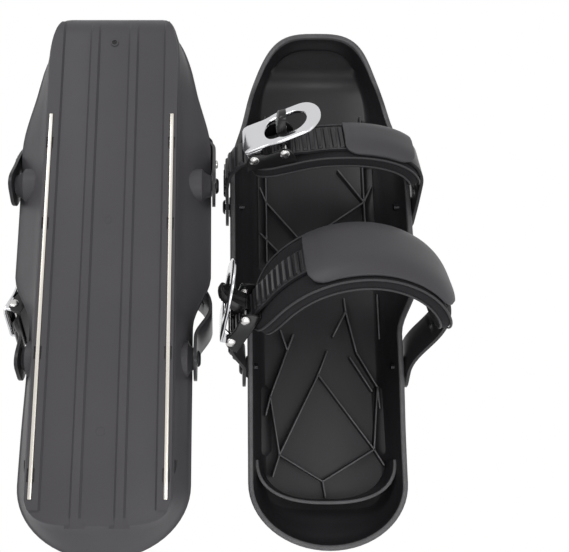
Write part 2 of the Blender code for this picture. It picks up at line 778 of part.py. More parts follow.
def cover_body(arch, start, end, half_width, steps=10):
    """The smooth cover: a thin crowned sheet over the end of the ladder strap."""
    rings = []
    half_width += COVER_OVERHANG
    for step in range(steps + 1):
        length = start + (end - start) * step / steps
        width = half_width * (0.72 + 0.28 * rounded_end(length, start, end, 12 * MM))
        drop = (COVER_CENTRE_LIFT - COVER_EDGE_LIFT) * (width / half_width) ** 4
        rings.append(strap_section(arch, length, width, COVER_CENTRE_LIFT, COVER_CENTRE_LIFT + COVER_THICK,
                                   6, -drop, drop, 4))
    return loft(rings)


def hole_pin(arch, length, radius, inner, outer, sides=10):
    """A short round body square to the strap, for a hole or a screw."""
    point, tangent = arch.place(length)
    normal = Vector((-tangent.z, 0, tangent.x))
    return turned([(inner, radius), (outer, radius)], normal, point, sides)


def buckle_frame():
    """A channel under the ladder strap with a cheek on each side."""
    mesh = box((-FRAME_HALF_LENGTH, -FRAME_HALF_WIDTH, GAP / 2),
               (FRAME_HALF_LENGTH, FRAME_HALF_WIDTH, FRAME_FLOOR))
    return mesh


def cheek(side):
    outer = side * FRAME_HALF_WIDTH
    inner = side * (FRAME_HALF_WIDTH - CHEEK)
    outline = []
    low = GAP / 2 + 0.3 * MM
    length = FRAME_HALF_LENGTH - 0.2 * MM
    for x, z in ((-length, low), (length, low), (length, 5 * MM), (length - 2 * MM, CHEEK_HEIGHT - 3 * MM),
                 (length - 5 * MM, CHEEK_HEIGHT), (-length + 5 * MM, CHEEK_HEIGHT),
                 (-length + 1.5 * MM, CHEEK_HEIGHT - 4 * MM), (-length, 5 * MM)):
        outline.append((x, z))
    return loft([[Vector((x, y, z)) for x, z in outline] for y in (inner, outer)])


def pin_hole(x, z, radius, half):
    return turned([(-half, radius), (half, radius)], (0, 1, 0), (x, 0, z), 14)


def rivet():
    """A pin across the buckle with a round head outside each cheek."""
    reach = FRAME_HALF_WIDTH + GAP
    head = reach + RIVET_HEAD
    profile = [(-head, RIVET_HEAD_RADIUS * 0.55), (-head + 0.7 * MM, RIVET_HEAD_RADIUS),
               (-reach, RIVET_HEAD_RADIUS), (-reach, PIN_RADIUS), (reach, PIN_RADIUS),
               (reach, RIVET_HEAD_RADIUS), (head - 0.7 * MM, RIVET_HEAD_RADIUS),
               (head, RIVET_HEAD_RADIUS * 0.55)]
    return turned(profile, (0, 1, 0), (0, 0, 0), 14)


def lever_plate():
    """The lever's loop, from its heel to its round end; x runs from its pin outward."""
    outline = []
    straight = LEVER_LENGTH - LEVER_END_HALF * 0.8
    outline.append((-LEVER_HEEL, LEVER_ROOT_HALF - 3 * MM))
    outline.append((-LEVER_HEEL + 2.5 * MM, LEVER_ROOT_HALF))
    outline.append((LEVER_HOLE_START, LEVER_ROOT_HALF))
    outline.append((LEVER_HOLE_START + 8 * MM, LEVER_END_HALF))
    for degrees in (90, 65, 40, 15):
        angle = math.radians(degrees)
        outline.append((straight + LEVER_END_HALF * 0.8 * math.cos(angle), LEVER_END_HALF * math.sin(angle)))
    points = outline + [(x, -y) for x, y in reversed(outline)]
    rings = []
    for share in (0, 1):
        ring = []
        for x, y in points:
            bow = 3.5 * MM * (eased(x, 0, LEVER_LENGTH) - (x / LEVER_LENGTH) ** 2 * 0.6)
            ring.append(Vector((x, y, LEVER_LIFT + bow + share * LEVER_THICK)))
        rings.append(ring)
    return loft(rings)


def lever_opening():
    points = []
    radius = LEVER_HOLE_HALF
    for centre, first in ((LEVER_HOLE_END - radius, 90), (LEVER_HOLE_START + radius * 0.75, 270)):
        for step in range(7):
            angle = math.radians(first - 30 * step)
            stretch = 1.0 if first == 90 else 0.75
            points.append((centre + stretch * radius * math.cos(angle), radius * math.sin(angle)))
    rings = [[Vector((x, y, z)) for x, y in points] for z in (-5 * MM, LEVER_LIFT + 15 * MM)]
    return loft(rings)


def lever_ear(side):
    outer = side * LEVER_ROOT_HALF
    inner = side * (LEVER_ROOT_HALF - LEVER_EAR)
    points = []
    for degrees in (180, 210, 240, 270, 300, 330, 360):
        angle = math.radians(degrees)
        points.append((LEVER_EAR_RADIUS * math.cos(angle), LEVER_EAR_RADIUS * math.sin(angle)))
    top = LEVER_LIFT + LEVER_THICK * 0.4
    points += [(LEVER_EAR_RADIUS + 4 * MM, top), (-LEVER_EAR_RADIUS, top)]
    return loft([[Vector((x, y, z)) for x, z in points] for y in (inner, outer)])


def release_tab():
    """The finger tab: a barrel on its pin and a tongue that stands up through the lever."""
    mesh = turned([(-TAB_HALF, TAB_BARREL), (TAB_HALF, TAB_BARREL)], (0, 1, 0), (0, 0, 0), 14)
    return mesh


def tab_tongue():
    rings = []
    for share in (0.0, 0.35, 0.7, 0.9, 1.0):
        z = 1.0 * MM + (TAB_HEIGHT - 1.0 * MM) * share
        x = -0.5 * MM + 5 * MM * share ** 2
        half = (TAB_HALF - 0.4 * MM) * (1 - 0.35 * share ** 3)
        thick = TAB_THICK * (0.8 - 0.25 * share)
        rings.append([Vector((x - thick / 2, -half, z)), Vector((x + thick / 2, -half, z)),
                      Vector((x + thick / 2, half, z)), Vector((x - thick / 2, half, z))])
    return loft(rings)


def pawl_spring():
    """A small torsion spring: one unbroken wire of three turns round the tab's pin."""
    mesh = bmesh.new()
    rings = []
    per_turn = 10
    count = SPRING_TURNS * per_turn
    for step in range(count + 1):
        angle = 2 * math.pi * step / per_turn
        spoke = Vector((math.cos(angle), 0, math.sin(angle)))
        side = Vector((0, 1, 0))
        centre = spoke * SPRING_RADIUS + side * SPRING_PITCH * step / per_turn
        ring = []
        for corner in range(5):
            around = 2 * math.pi * corner / 5
            ring.append(centre + (spoke * math.cos(around) + side * math.sin(around)) * SPRING_WIRE)
        rings.append(ring)
    return loft(rings, mesh)


def hinge_screw(side, pivot_half, out, inside):
    """A pan-head screw along X: head outside the strap, shank through the wall."""
    head = pivot_half + out
    profile = [(-SCREW_HEAD, SCREW_HEAD_RADIUS * 0.6), (-SCREW_HEAD * 0.55, SCREW_HEAD_RADIUS),
               (0.0, SCREW_HEAD_RADIUS), (0.0, SCREW_RADIUS), (head - inside, SCREW_RADIUS)]
    return turned(profile, (-side, 0, 0), (side * head, 0, 0), 16)


def build_shell(board):
    """The tray with its keels, ribs and bosses added, then its slots and bores cut."""
    forms = bmesh.new()
    for side in (-1, 1):
        ridge(side, forms)
        rail(side, forms)
    rib_network(forms)
    heel_ridge(forms)
    ring = ((PANEL_LIFT - NOSE_RING_LIFT, NOSE_RING_RADIUS), (PANEL_LIFT + FLOOR * 0.4, NOSE_RING_RADIUS))
    turned(ring, (0, 0, 1), (0, NOSE_HOLE_Y, 0), 16, forms)
    cuts = bmesh.new()
    for y, half in ((ANKLE_Y, ANKLE_PIVOT_HALF), (TOE_Y, TOE_PIVOT_HALF)):
        root = wall_at_pivot(y) - WALL * 0.6
        for side in (-1, 1):
            boss = ((root - BOSS_ROOT * 0.3, BOSS_RADIUS), (half, BOSS_RADIUS))
            turned(boss, (side, 0, 0), (0, y, PIVOT_Z), 20, forms)
            bore = ((root - BOSS_ROOT * 2, SCREW_RADIUS + SCREW_CLEARANCE),
                    (half + BOSS_ROOT, SCREW_RADIUS + SCREW_CLEARANCE))
            turned(bore, (side, 0, 0), (0, y, PIVOT_Z), 16, cuts)
    for side in (-1, 1):
        half = RUNNER_WIDTH / 2 + GAP
        box((side * RUNNER_X - half, RUNNER_TAIL_Y - GAP, -CUT_PAST),
            (side * RUNNER_X + half, RUNNER_NOSE_Y + GAP, RUNNER_THICK + GAP), cuts)
        for y in CLIP_YS:
            box((side * RUNNER_X - CLIP_WIDTH / 2, y - CLIP_LENGTH / 2, -CUT_PAST),
                (side * RUNNER_X + CLIP_WIDTH / 2, y + CLIP_LENGTH / 2, CLIP_DEPTH), cuts)
    hole = ((-CUT_PAST, NOSE_HOLE_RADIUS), (PANEL_LIFT + FLOOR + CUT_PAST, NOSE_HOLE_RADIUS))
    turned(hole, (0, 0, 1), (0, NOSE_HOLE_Y, 0), 12, cuts)
    shell = finish(board, "board_shell", tray(), "shell_plastic", board.root)
    combine(shell, cutter(board, "shell_forms", forms, board.root), "UNION", True)
    combine(shell, cutter(board, "shell_cuts", cuts, board.root), "DIFFERENCE", True)
    flatten = shell.modifiers.new("merge_flat_faces", "DECIMATE")
    flatten.decimate_type = "DISSOLVE"
    flatten.angle_limit = math.radians(FLAT_ANGLE)


def build_buckle(board, name, strap, middle, slope, lever_angle, tab_angle):
    """The ratchet buckle on its own pivot, with pins, lever, tab and spring."""
    place = pivot(board, name + "_buckle_place", strap, middle, (0, -slope, 0))
    frame = finish(board, name + "_buckle_frame", buckle_frame(), "buckle_plastic", place)
    for side, label in ((-1, "tail"), (1, "nose")):
        combine(frame, cutter(board, name + "_" + label + "_cheek_form", cheek(side), place), "UNION")
    holes = (("lever", -PIN_SPACING / 2), ("tab", PIN_SPACING / 2))
    for label, x in holes:
        bore = pin_hole(x, PIN_HEIGHT, PIN_RADIUS + PIN_CLEARANCE, FRAME_HALF_WIDTH + 2 * MM)
        combine(frame, cutter(board, name + "_" + label + "_bore_form", bore, place), "DIFFERENCE")
        pin_place = pivot(board, name + "_" + label + "_pin_place", place, (x, 0, PIN_HEIGHT))
        finish(board, name + "_" + label + "_rivet", rivet(), "rivet_steel", pin_place)
    lever_place = pivot(board, name + "_lever_place", place, (-PIN_SPACING / 2, 0, PIN_HEIGHT),
                        (0, -lever_angle, 0))
    lever = finish(board, name + "_lever", lever_plate(), "lever_chrome", lever_place)
    for side, label in ((-1, "tail"), (1, "nose")):
        combine(lever, cutter(board, name + "_" + label + "_ear_form", lever_ear(side), lever_place), "UNION")
    combine(lever, cutter(board, name + "_loop_form", lever_opening(), lever_place), "DIFFERENCE")
    bore = pin_hole(0, 0, PIN_RADIUS + PIN_CLEARANCE, LEVER_ROOT_HALF + 2 * MM)
    combine(lever, cutter(board, name + "_ear_bore_form", bore, lever_place), "DIFFERENCE")
    tab_place = pivot(board, name + "_tab_place", place, (PIN_SPACING / 2, 0, PIN_HEIGHT),
                      (0, tab_angle, 0))
    tab = finish(board, name + "_release_tab", release_tab(), "buckle_plastic", tab_place)
    combine(tab, cutter(board, name + "_tongue_form", tab_tongue(), tab_place), "UNION")
    bore = pin_hole(0, 0, PIN_RADIUS + PIN_CLEARANCE, TAB_HALF + 2 * MM)
    combine(tab, cutter(board, name + "_tab_bore_form", bore, tab_place), "DIFFERENCE")
    spring_place = pivot(board, name + "_spring_place", tab_place, (0, TAB_HALF + 1 * MM, 0))
    finish(board, name + "_pawl_spring", pawl_spring(), "rivet_steel", spring_place)


def build_strap(board, name, arch, y, pivot_half, lean, pad_half, spans, lever_angle, tab_angle=0.0):
    """One strap with everything that swings with it, and its two hinge screws."""
    strap = pivot(board, name + "_strap_place", board.root, (0, y, PIVOT_Z), (-lean, 0, 0))
    pad_start, pad_end, cover_start, cover_end = spans
    adjuster_top = cover_end - 16 * MM
    bore = SCREW_RADIUS + SCREW_CLEARANCE
    across = turned([(-pivot_half - 9 * MM, bore), (pivot_half + 9 * MM, bore)], (1, 0, 0), (0, 0, 0), 16)
    bore_form = cutter(board, name + "_strap_bore_form", across, strap)
    ladder = finish(board, name + "_ladder_strap", ladder_strap(arch, cover_start), "strap_plastic", strap)
    combine(ladder, bore_form, "DIFFERENCE")
    adjuster = finish(board, name + "_adjuster_strap", adjuster_strap(arch, adjuster_top), "strap_plastic", strap)
    combine(adjuster, bore_form, "DIFFERENCE")
    screw_length = pad_end + 7 * MM
    holes = [screw_length + HOLE_PITCH * step for step in range(2)]
    for index, length in enumerate(holes):
        form = hole_pin(arch, length, HOLE_RADIUS, -2 * MM, 6 * MM)
        combine(adjuster, cutter(board, name + "_hole_form_" + str(index), form, strap), "DIFFERENCE")
    finish(board, name + "_pad", pad_body(arch, pad_start, pad_end, pad_half), "pad_foam", strap)
    finish(board, name + "_cover", cover_body(arch, cover_start, cover_end, pad_half), "cover_leather", strap)
    point, tangent = arch.place(screw_length)
    normal = Vector((-tangent.z, 0, tangent.x))
    top = 2 * GAP + ADJUSTER_THICK
    profile = [(0.0, PAD_SCREW_SHANK), (top, PAD_SCREW_SHANK), (top, PAD_SCREW_RADIUS),
               (top + PAD_SCREW_HEAD * 0.5, PAD_SCREW_RADIUS),
               (top + PAD_SCREW_HEAD, PAD_SCREW_RADIUS * 0.6)]
    screw = turned(profile, normal, point, 12)
    finish(board, name + "_pad_screw", screw, "rivet_steel", strap)
    middle_length = (arch.knot_lengths[2] + arch.knot_lengths[3]) / 2
    tangent = arch.place(middle_length)[1]
    middle = arch.at(middle_length, 0.0, 0.0)
    build_buckle(board, name, strap, middle, math.atan2(tangent.z, tangent.x), lever_angle, tab_angle)
    inside = wall_at_pivot(y) - WALL - SCREW_HEAD
    hinge = pivot(board, name + "_screw_place", board.root, (0, y, PIVOT_Z))
    for side, label, thick in ((-1, "ladder", LADDER_THICK), (1, "adjuster", ADJUSTER_THICK)):
        screw = hinge_screw(side, pivot_half, 2 * GAP + thick, inside)
        finish(board, name + "_" + label + "_screw", screw, "screw_black", hinge)


def spans_of(arch, pad_start, pad_end, cover_start, cover_end):
    """Where the pad and the cover run along an arch, from its knots."""
    buckle, _, apex, far = arch.knot_lengths[2:6]
    return buckle + pad_start, far + pad_end, apex + cover_start, far + cover_end


def strap_line(half, buckle, slope, top, side, sway=0.0):
    """An arch from the places of its buckle's middle, its top and its far side."""
    run = (FRAME_HALF_LENGTH + BUCKLE_MARGIN) * Vector((math.cos(slope), 0, math.sin(slope)))
    middle = Vector((buckle[0], 0, buckle[1]))
    start = middle - run
    end = middle + run
    return Arch(half, (
        (start.x, start.z, math.degrees(slope)),
        (end.x, end.z, math.degrees(slope)),
        (*top, 0.0),
        (*side, -88.0),
    ), sway)


ANKLE_PIVOT_HALF = pivot_half(ANKLE_Y, ANKLE_STAND)
TOE_PIVOT_HALF = pivot_half(TOE_Y, TOE_STAND)
LEFT_ANKLE = strap_line(
    ANKLE_PIVOT_HALF, (-ANKLE_PIVOT_HALF + ANKLE_BUCKLE_IN, ANKLE_BUCKLE_Z), math.radians(63.2),
    (ANKLE_TOP_X, ANKLE_TOP_Z), (ANKLE_PIVOT_HALF + ANKLE_SIDE_OUT, ANKLE_SIDE_Z))
RIGHT_ANKLE = strap_line(
    ANKLE_PIVOT_HALF, (-ANKLE_PIVOT_HALF - TIGHT_BUCKLE_OUT, TIGHT_BUCKLE_Z), math.radians(72.0),
    (0.0, TIGHT_TOP_Z), (ANKLE_PIVOT_HALF + TIGHT_SIDE_OUT, TIGHT_SIDE_Z), -TIGHT_SWAY)
LEFT_TOE = strap_line(
    TOE_PIVOT_HALF, (-TOE_PIVOT_HALF + TOE_BUCKLE_IN, TOE_BUCKLE_Z), math.radians(16.0),
    (TOE_TOP_X, TOE_TOP_Z), (TOE_PIVOT_HALF - TOE_SIDE_IN, TOE_SIDE_Z))
RIGHT_TOE = strap_line(
    TOE_PIVOT_HALF, (-TOE_PIVOT_HALF + TOE_BUCKLE_IN, TOE_BUCKLE_Z), math.radians(16.0),
    (TOE_TOP_X, TOE_TOP_Z), (TOE_PIVOT_HALF, TOE_SIDE_Z))

LEFT_ANKLE_LEAN = math.radians(39.0)
LEFT_TOE_LEAN = math.radians(29.0)
RIGHT_ANKLE_LEAN = math.radians(58.0)
RIGHT_TOE_LEAN = math.radians(48.0)

def shown_points(parent):
    """Every corner of the finished pieces carried by an empty, in the pair's frame."""
    bpy.context.view_layer.update()
    graph = bpy.context.evaluated_depsgraph_get()
    points = []
    for child in parent.children_recursive:
        if child.type == "MESH" and not child.hide_render:
            shown = child.evaluated_get(graph)
            points.extend(child.matrix_world @ vertex.co for vertex in shown.to_mesh().vertices)
            shown.to_mesh_clear()
    return points


def main():
    for old in list(bpy.data.objects):
        bpy.data.objects.remove(old, do_unlink=True)
    pair = empty("pair_place", None, (0, -(TIP_Y + TAIL_Y) / 2, 0))
    spacing = (ANKLE_PIVOT_HALF + TOE_PIVOT_HALF) / 2 + BUCKLE_ROOM
    left = Board("left", spacing, 0.0, False)
    right = Board("right", -spacing, 0.0, True)
    for board in (left, right):
        board.root.parent = pair
        build_shell(board)
        for side, label in ((-1, "outer"), (1, "inner")):
            finish(board, label + "_runner", runner_bar(side), "runner_steel", board.root)
    ankle_spans = spans_of(LEFT_ANKLE, 27 * MM, 6 * MM, -42 * MM, -22 * MM)
    build_strap(left, "ankle", LEFT_ANKLE, ANKLE_Y, ANKLE_PIVOT_HALF, LEFT_ANKLE_LEAN, ANKLE_PAD_HALF,
                ankle_spans, math.radians(16))
    toe_spans = spans_of(LEFT_TOE, 3 * MM, 2 * MM, -4 * MM, -26 * MM)
    build_strap(left, "toe", LEFT_TOE, TOE_Y, TOE_PIVOT_HALF, LEFT_TOE_LEAN, TOE_PAD_HALF,
                toe_spans, math.radians(8))
    ankle_spans = spans_of(RIGHT_ANKLE, 46 * MM, -34 * MM, -42 * MM, -34 * MM)
    build_strap(right, "ankle", RIGHT_ANKLE, ANKLE_Y, ANKLE_PIVOT_HALF, RIGHT_ANKLE_LEAN, TIGHT_PAD_HALF,
                ankle_spans, math.radians(3), math.radians(26))
    toe_spans = spans_of(RIGHT_TOE, 3 * MM, -8 * MM, -4 * MM, -16 * MM)
    build_strap(right, "toe", RIGHT_TOE, TOE_Y, TOE_PIVOT_HALF, RIGHT_TOE_LEAN, TOE_PAD_HALF,
                toe_spans, math.radians(3))
    right.root.location.z -= min(point.z for point in shown_points(right.root))
    across = [point.x for point in shown_points(pair)]
    pair.location.x -= (min(across) + max(across)) / 2


main()
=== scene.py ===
"""Looks of a pair of mini skiboards with ratchet strap bindings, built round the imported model.

The left board stands on its runners, the right one lies upside down beside it. Every size is
in metres, written as millimetres x MM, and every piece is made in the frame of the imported
model, so that it rides on the body that it belongs to.
"""

import logging
import math
from collections.abc import Iterable
from dataclasses import dataclass, field
from enum import Enum

import bmesh
import bpy
from mathutils import Matrix, Vector


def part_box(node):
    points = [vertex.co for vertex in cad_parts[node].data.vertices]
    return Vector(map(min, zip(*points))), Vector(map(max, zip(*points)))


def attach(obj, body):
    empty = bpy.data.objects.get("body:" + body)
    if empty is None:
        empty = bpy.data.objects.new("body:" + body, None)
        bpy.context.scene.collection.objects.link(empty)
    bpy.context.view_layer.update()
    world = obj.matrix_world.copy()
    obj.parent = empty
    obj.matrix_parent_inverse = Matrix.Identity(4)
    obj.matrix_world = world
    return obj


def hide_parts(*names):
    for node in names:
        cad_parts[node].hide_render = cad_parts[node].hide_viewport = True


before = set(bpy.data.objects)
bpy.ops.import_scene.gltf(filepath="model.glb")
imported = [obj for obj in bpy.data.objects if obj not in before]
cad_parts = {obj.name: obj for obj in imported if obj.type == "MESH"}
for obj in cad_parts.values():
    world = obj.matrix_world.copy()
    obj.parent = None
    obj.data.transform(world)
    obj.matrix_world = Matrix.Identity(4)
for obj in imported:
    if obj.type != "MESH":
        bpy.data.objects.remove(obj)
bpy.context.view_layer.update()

MM = 0.001
LOG = logging.getLogger("skiboards")

Section = list[Vector]
Ring = list[bmesh.types.BMVert]
Edges = list[bmesh.types.BMEdge]
Faces = list[bmesh.types.BMFace]


def eased(value: float, low: float, high: float) -> float:
    """A smooth step from 0 at low to 1 at high."""
    share = min(max((value - low) / (high - low), 0.0), 1.0)
    return share * share * (3 - 2 * share)


def spread(low: float, high: float, parts: int) -> list[float]:
    """Evenly spaced places from low to high, both included."""
    return [low + (high - low) * step / parts for step in range(parts + 1)]


def through(table: list[tuple[float, float]], y: float) -> float:
    """A smooth curve through a short table.

    Args:
        table: pairs of place and value, in order of place.
        y: the place that is asked for.

    Returns:
        The value there, level beyond both ends of the table.
    """
    if y <= table[0][0]:
        return table[0][1]
    if y >= table[-1][0]:
        return table[-1][1]
    index = next(i for i in range(1, len(table)) if y <= table[i][0])
    (y0, v0), (y1, v1) = table[index - 1], table[index]
    before = table[max(index - 2, 0)]
    after = table[min(index + 1, len(table) - 1)]
    slope0 = (v1 - before[1]) / (y1 - before[0]) if index > 1 else 0.0
    slope1 = (after[1] - v0) / (after[0] - y0) if index < len(table) - 1 else 0.0
    span = y1 - y0
    t = (y - y0) / span
    keep = 2 * t ** 3 - 3 * t ** 2 + 1
    return (keep * v0 + (t ** 3 - 2 * t ** 2 + t) * span * slope0
            + (1 - keep) * v1 + (t ** 3 - t ** 2) * span * slope1)


# Shader toolkit


class Wire:
    """A shader socket on which arithmetic adds Math nodes."""

    def __init__(self, graph: "Graph", socket: bpy.types.NodeSocket) -> None:
        """Wrap a socket of a graph."""
        self.graph = graph
        self.socket = socket

    def _math(self, operation: str, *values: "Wire | float") -> "Wire":
        """Add one Math node over the values."""
        return self.graph.node("ShaderNodeMath", {"operation": operation}, dict(enumerate(values)))

    def __add__(self, other: "Wire | float") -> "Wire":
        """Sum."""
        return self._math("ADD", self, other)

    __radd__ = __add__

    def __mul__(self, other: "Wire | float") -> "Wire":
        """Product."""
        return self._math("MULTIPLY", self, other)

    __rmul__ = __mul__

    def __sub__(self, other: "Wire | float") -> "Wire":
        """Difference."""
        return self._math("SUBTRACT", self, other)

    def __rsub__(self, other: "Wire | float") -> "Wire":
        """Difference, the other way round."""
        return self._math("SUBTRACT", other, self)

    def __pow__(self, other: "Wire | float") -> "Wire":
        """Power."""
        return self._math("POWER", self, other)


class Graph:
    """The node tree of one material or world."""

    def __init__(self, owner: bpy.types.Material | bpy.types.World, shader: str) -> None:
        """Open the node tree of a new material or world.

        Args:
            owner: the material or world.
            shader: the name of the node whose sockets are set.
        """
        owner.use_nodes = True
        self.tree = owner.node_tree
        self.shader = self.tree.nodes[shader]

    def node(self, kind: str, settings: dict | None = None, inputs: dict | None = None,
             output: int | str = 0) -> Wire:
        """Add a node.

        Args:
            kind: the node's type.
            settings: its own settings; stops fills a ramp with (place, grey) pairs.
            inputs: values or wires by socket name or number.
            output: the socket that is wanted back.

        Returns:
            The wire of that output.
        """
        made = self.tree.nodes.new(kind)
        for key, value in (settings or {}).items():
            if key == "stops":
                ramp = made.color_ramp
                while len(ramp.elements) < len(value):
                    ramp.elements.new(0.5)
                for element, (place, grey) in zip(ramp.elements, value):
                    element.position = place
                    element.color = (grey, grey, grey, 1)
            else:
                setattr(made, key, value)
        for key, value in (inputs or {}).items():
            self.feed(made.inputs[key], value)
        return Wire(self, made.outputs[output])

    def feed(self, socket: bpy.types.NodeSocket, value: "Wire | float | tuple") -> None:
        """Link a wire to a socket, or set the socket's value.

        Args:
            socket: the socket.
            value: a wire or a plain value.
        """
        if isinstance(value, Wire):
            self.tree.links.new(value.socket, socket)
        else:
            socket.default_value = value

    def set(self, **values: "Wire | float | tuple") -> None:
        """Feed sockets of the main shader, with _ for a space in the name."""
        for key, value in values.items():
            self.feed(self.shader.inputs[key.replace("_", " ")], value)

    def place(self, scale: tuple[float, float, float] = (1, 1, 1)) -> Wire:
        """Object coordinates, stretched."""
        spot = self.node("ShaderNodeTexCoord", output="Object")
        return self.node("ShaderNodeMapping", None, {"Vector": spot, "Scale": scale})

    def noise(self, scale: float, detail: float = 2.0, stretch: tuple[float, float, float] = (1, 1, 1)) -> Wire:
        """Soft noise from 0 to 1 with this many features a metre."""
        return self.node("ShaderNodeTexNoise", None,
                         {"Vector": self.place(stretch), "Scale": scale, "Detail": detail})

    def mixed(self, mask: Wire, low: tuple, high: tuple) -> Wire:
        """A colour between two, by a mask."""
        return self.node("ShaderNodeMix", {"data_type": "RGBA"},
                         {"Factor": mask, "A": (*low, 1), "B": (*high, 1)}, output=2)

    def bumped(self, height: Wire, depth: float, strength: float = 1.0) -> Wire:
        """A normal from a height of this depth in metres."""
        return self.node("ShaderNodeBump", None, {"Height": height, "Distance": depth, "Strength": strength})

    def backdrop(self, outlet: str, bright: Wire) -> None:
        """Show a bright shader to the camera and in gloss, and the tree's own shader to all else.

        Args:
            outlet: the name of the tree's output node.
            bright: the shader that is seen.
        """
        camera, gloss, glass = (self.node("ShaderNodeLightPath", output=f"Is {kind} Ray")
                                for kind in ("Camera", "Glossy", "Transmission"))
        own = Wire(self, self.shader.outputs[0])
        mix = self.node("ShaderNodeMixShader", None, {0: camera + gloss + glass, 1: own, 2: bright})
        self.feed(self.tree.nodes[outlet].inputs["Surface"], mix)


@dataclass(frozen=True)
class Finish:
    """How a surface looks, and the name of the slot that it stands for."""

    name: str
    slot: str
    colour: tuple[float, float, float]
    roughness: float

    def build(self, graph: Graph) -> None:
        """Wire up the material; each kind of finish does its own."""
        graph.set(Base_Color=(*self.colour, 1), Roughness=self.roughness)

    def material(self) -> bpy.types.Material:
        """The material, made when it is first asked for.

        Returns:
            The one material of this name.
        """
        made = bpy.data.materials.get(self.name)
        if made is None:
            made = bpy.data.materials.new(self.name)
            self.build(Graph(made, "Principled BSDF"))
        return made


@dataclass(frozen=True)
class Moulded(Finish):
    """Moulded plastic: a fine spark-eroded grain, faint cloudiness and scuffs."""

    grain: float = 1900.0
    depth: float = 0.05 * MM
    cloud: float = 0.16
    gloss: float = 0.28

    def build(self, graph: Graph) -> None:
        """Grain in the bump, clouds in colour and roughness.

        Args:
            graph: the nodes of the material.
        """
        cloud = graph.noise(14.0, 4.0)
        grain = graph.noise(self.grain, 2.0)
        scuff = graph.noise(60.0, 6.0, (1, 0.16, 1)) ** 3.0
        low = tuple(value * (1 - self.cloud) for value in self.colour)
        high = tuple(value * (1 + self.cloud) + 0.004 for value in self.colour)
        graph.set(Base_Color=graph.mixed(cloud, low, high), Specular_IOR_Level=self.gloss,
                  Roughness=cloud * 0.10 + scuff * 0.25 + (self.roughness - 0.08),
                  Normal=graph.bumped(grain, self.depth))


@dataclass(frozen=True)
class CrestHighlight(Moulded):
    """Moulded plastic with a painted highlight above a line of crest heights."""

    crests: tuple[tuple[float, float], ...] = ((-0.3, 0.0), (0.3, 0.0))
    upward: int = 1
    pale: tuple[float, float, float] = (0.135, 0.132, 0.138)
    tallest: float = 150.0 * MM

    def build(self, graph: Graph) -> None:
        """As moulded, with a paler colour above the crest's height: a painted highlight.

        Args:
            graph: the nodes of the material.
        """
        super().build(graph)
        height = graph.node("ShaderNodeSeparateXYZ", None, {"Vector": graph.place()}, output="Z")
        along_board = graph.node("ShaderNodeSeparateXYZ", None, {"Vector": graph.place()}, output="Y")
        low, high = self.crests[0][0], self.crests[-1][0]
        stops = [((y - low) / (high - low), z / self.tallest) for y, z in self.crests]
        line = graph.node("ShaderNodeValToRGB", {"stops": stops},
                          {"Fac": (along_board - low) * (1 / (high - low))})
        above = graph.node("ShaderNodeClamp", None,
                           {"Value": (height - line * self.tallest) * (self.upward / MM)})
        # A patchy painted highlight above the crest line.
        highlight_patches = graph.noise(120.0, 3.0)
        graph.set(Base_Color=graph.mixed(above * (highlight_patches * 0.7 + 0.45), self.colour, self.pale))


@dataclass(frozen=True)
class Metal(Finish):
    """Polished, drawn or domed metal."""

    drawn: tuple[float, float, float] = (1, 1, 1)
    depth: float = 0.01 * MM
    scale: float = 400.0

    def build(self, graph: Graph) -> None:
        """Fine lines or smears in roughness and bump.

        Args:
            graph: the nodes of the material.
        """
        lines = graph.noise(self.scale, 3.0, self.drawn)
        smear = graph.noise(35.0, 3.0)
        low = tuple(value * 0.94 for value in self.colour)
        graph.set(Base_Color=graph.mixed(smear, low, self.colour), Metallic=1.0,
                  Roughness=lines * 0.10 + smear * 0.06 + (self.roughness - 0.08),
                  Normal=graph.bumped(lines, self.depth))


@dataclass(frozen=True)
class Hide(Finish):
    """Coated sheet with a pebbled grain."""

    gloss: float = 0.3

    def build(self, graph: Graph) -> None:
        """Pebbles from cells, creases from noise.

        Args:
            graph: the nodes of the material.
        """
        warp = graph.noise(90.0, 2.0)
        cells = graph.node("ShaderNodeTexVoronoi", {"feature": "SMOOTH_F1"},
                           {"Vector": graph.place(), "Scale": 1100.0, "Smoothness": 0.6})
        soft = graph.noise(22.0, 4.0)
        low = tuple(value * 0.82 for value in self.colour)
        graph.set(Base_Color=graph.mixed(soft, low, self.colour), Specular_IOR_Level=self.gloss,
                  Roughness=soft * 0.14 + (self.roughness - 0.07),
                  Normal=graph.bumped(cells + warp * 0.6, 0.06 * MM, 0.8))


@dataclass(frozen=True)
class Knit(Finish):
    """Foam in a fine knitted skin."""

    gloss: float = 0.2

    def build(self, graph: Graph) -> None:
        """Two crossed waves for the loops, and lint in the colour.

        Args:
            graph: the nodes of the material.
        """
        waves = [graph.node("ShaderNodeTexWave", {"bands_direction": direction},
                            {"Vector": graph.place(), "Scale": 260.0, "Distortion": 1.5})
                 for direction in ("X", "DIAGONAL")]
        loops = graph.node("ShaderNodeMath", {"operation": "MULTIPLY"}, {0: waves[0], 1: waves[1]})
        lint = graph.noise(500.0, 5.0)
        high = tuple(value * 1.7 for value in self.colour)
        graph.set(Base_Color=graph.mixed(lint, self.colour, high), Specular_IOR_Level=self.gloss,
                  Roughness=lint * 0.1 + (self.roughness - 0.05),
                  Normal=graph.bumped(loops + lint * 0.5, 0.12 * MM, 0.7))


